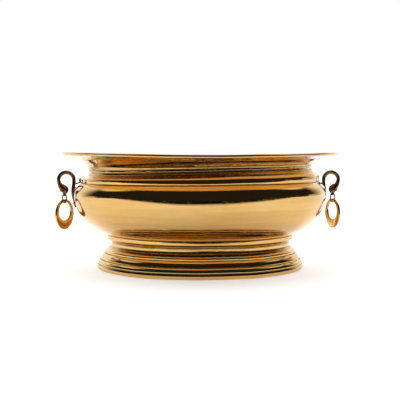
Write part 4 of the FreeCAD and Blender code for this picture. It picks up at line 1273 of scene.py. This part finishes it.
def studio_world(settings):
    """Soft studio light: bright behind and high at both sides, soft overhead, unlit in
    front."""
    world = bpy.data.worlds.new("soft_studio")
    world.use_nodes = True
    tree = world.node_tree
    tree.nodes.clear()
    way = add(tree, "ShaderNodeTexCoord").outputs["Generated"]
    axes = add(tree, "ShaderNodeSeparateXYZ", {0: way}).outputs
    level = calc(tree, "SQRT", calc(tree, "SUBTRACT", 1.0,
                                    calc(tree, "MULTIPLY", axes[2], axes[2]), True))
    behind = calc(tree, "DIVIDE", axes[1], calc(tree, "MAXIMUM", level, LEAST_LEVEL))
    backdrop = ramp(tree, behind, *BACKDROP)
    low = calc(tree, "MULTIPLY", ramp(tree, axes[2], *HORIZON),
               ramp(tree, behind, *HORIZON_BACK, 0.0, HORIZON_LIGHT))
    backdrop = calc(tree, "MAXIMUM", backdrop, low)
    over = calc(tree, "ADD", calc(tree, "MULTIPLY", axes[2], OVERHEAD_Z),
                calc(tree, "MULTIPLY", axes[1], OVERHEAD_Y))
    overhead = ramp(tree, over, *OVERHEAD)
    sideways = calc(tree, "MULTIPLY", calc(tree, "ABSOLUTE", axes[0]), BOX_X)
    aside = calc(tree, "ADD", sideways, calc(tree, "MULTIPLY", axes[1], BOX_Y))
    aside = calc(tree, "ADD", aside, calc(tree, "MULTIPLY", axes[2], BOX_Z))
    boxes = ramp(tree, aside, *BOX)
    lit = calc(tree, "MAXIMUM", backdrop, overhead)
    bright = calc(tree, "MAXIMUM", calc(tree, "MAXIMUM", backdrop, boxes),
                  calc(tree, "MULTIPLY", overhead, settings.overhead))
    seen = add(tree, "ShaderNodeMix", {0: bright, 2: settings.front,
                                       3: settings.backdrop}).outputs[0]
    path = add(tree, "ShaderNodeLightPath")
    soft = calc(tree, "MULTIPLY", lit, SOFT_LIGHT)
    strength = add(tree, "ShaderNodeMix", {0: path.outputs["Is Diffuse Ray"], 2: seen,
                                           3: soft}).outputs[0]
    strength = add(tree, "ShaderNodeMix", {0: path.outputs["Is Camera Ray"], 2: strength,
                                           3: 1.0}).outputs[0]
    background = add(tree, "ShaderNodeBackground", {"Strength": strength})
    background.inputs["Color"].default_value = (1, 1, 1, 1)
    output = tree.nodes.new("ShaderNodeOutputWorld")
    tree.links.new(background.outputs[0], output.inputs["Surface"])
    return world


class URLI_OT_stage(bpy.types.Operator):
    """Adds the pale floor, the soft studio light and the camera"""
    bl_idname = "urli.stage"
    bl_label = "Stage"

    def execute(self, context):
        settings = context.scene.urli_stage
        mesh = bpy.data.meshes.new("studio_floor")
        mesh.from_pydata([(-FLOOR_SIDE, FLOOR_FRONT, 0), (FLOOR_SIDE, FLOOR_FRONT, 0),
                          (FLOOR_SIDE, FLOOR_BACK, 0), (-FLOOR_SIDE, FLOOR_BACK, 0)],
                         [], [(0, 1, 2, 3)])
        floor = bpy.data.objects.new("studio_floor", mesh)
        context.scene.collection.objects.link(floor)
        floor.data.materials.append(floor_material())
        context.scene.world = studio_world(settings)
        context.scene.view_settings.view_transform = "Standard"
        lens = bpy.data.cameras.new("studio_camera")
        lens.lens = settings.lens
        camera = bpy.data.objects.new("studio_camera", lens)
        camera.location = (math.sin(settings.azimuth) * settings.distance,
                           -math.cos(settings.azimuth) * settings.distance, settings.height)
        camera.rotation_euler = (math.pi / 2 - settings.pitch, 0, settings.azimuth)
        context.scene.collection.objects.link(camera)
        context.scene.camera = camera
        return {"FINISHED"}


class URLI_PT_panel(bpy.types.Panel):
    """Lists the pieces and their settings"""
    bl_label = "Urli bowl"
    bl_idname = "URLI_PT_panel"
    bl_space_type = "VIEW_3D"
    bl_region_type = "UI"
    bl_category = "Urli"

    def draw(self, context):
        for group in (context.scene.urli_shape, context.scene.urli_finish,
                      context.scene.urli_stage):
            box = self.layout.box()
            for key in group.bl_rna.properties.keys():
                if key not in {"rna_type", "name"}:
                    box.prop(group, key)
        for operator in OPERATORS:
            self.layout.operator(operator.bl_idname)


OPERATORS = (URLI_OT_rim_collar, URLI_OT_bowl_body, URLI_OT_foot_pedestal,
             URLI_OT_swan_handles, URLI_OT_hanging_links, URLI_OT_crescent_rings,
             URLI_OT_rivets, URLI_OT_stage)
SETTINGS = {"urli_shape": UrliShapeSettings, "urli_finish": UrliFinishSettings,
            "urli_stage": UrliStageSettings}


def register():
    for group in SETTINGS.values():
        bpy.utils.register_class(group)
    for key, group in SETTINGS.items():
        setattr(bpy.types.Scene, key, bpy.props.PointerProperty(type=group))
    for operator in OPERATORS:
        bpy.utils.register_class(operator)
    bpy.utils.register_class(URLI_PT_panel)


def unregister():
    bpy.utils.unregister_class(URLI_PT_panel)
    for operator in reversed(OPERATORS):
        bpy.utils.unregister_class(operator)
    for key, group in SETTINGS.items():
        delattr(bpy.types.Scene, key)
        bpy.utils.unregister_class(group)


def main():
    """Builds every piece and the stage."""
    register()
    for operator in OPERATORS:
        getattr(bpy.ops.urli, operator.bl_idname.split(".")[1])()


if __name__ == "__main__":
    main()
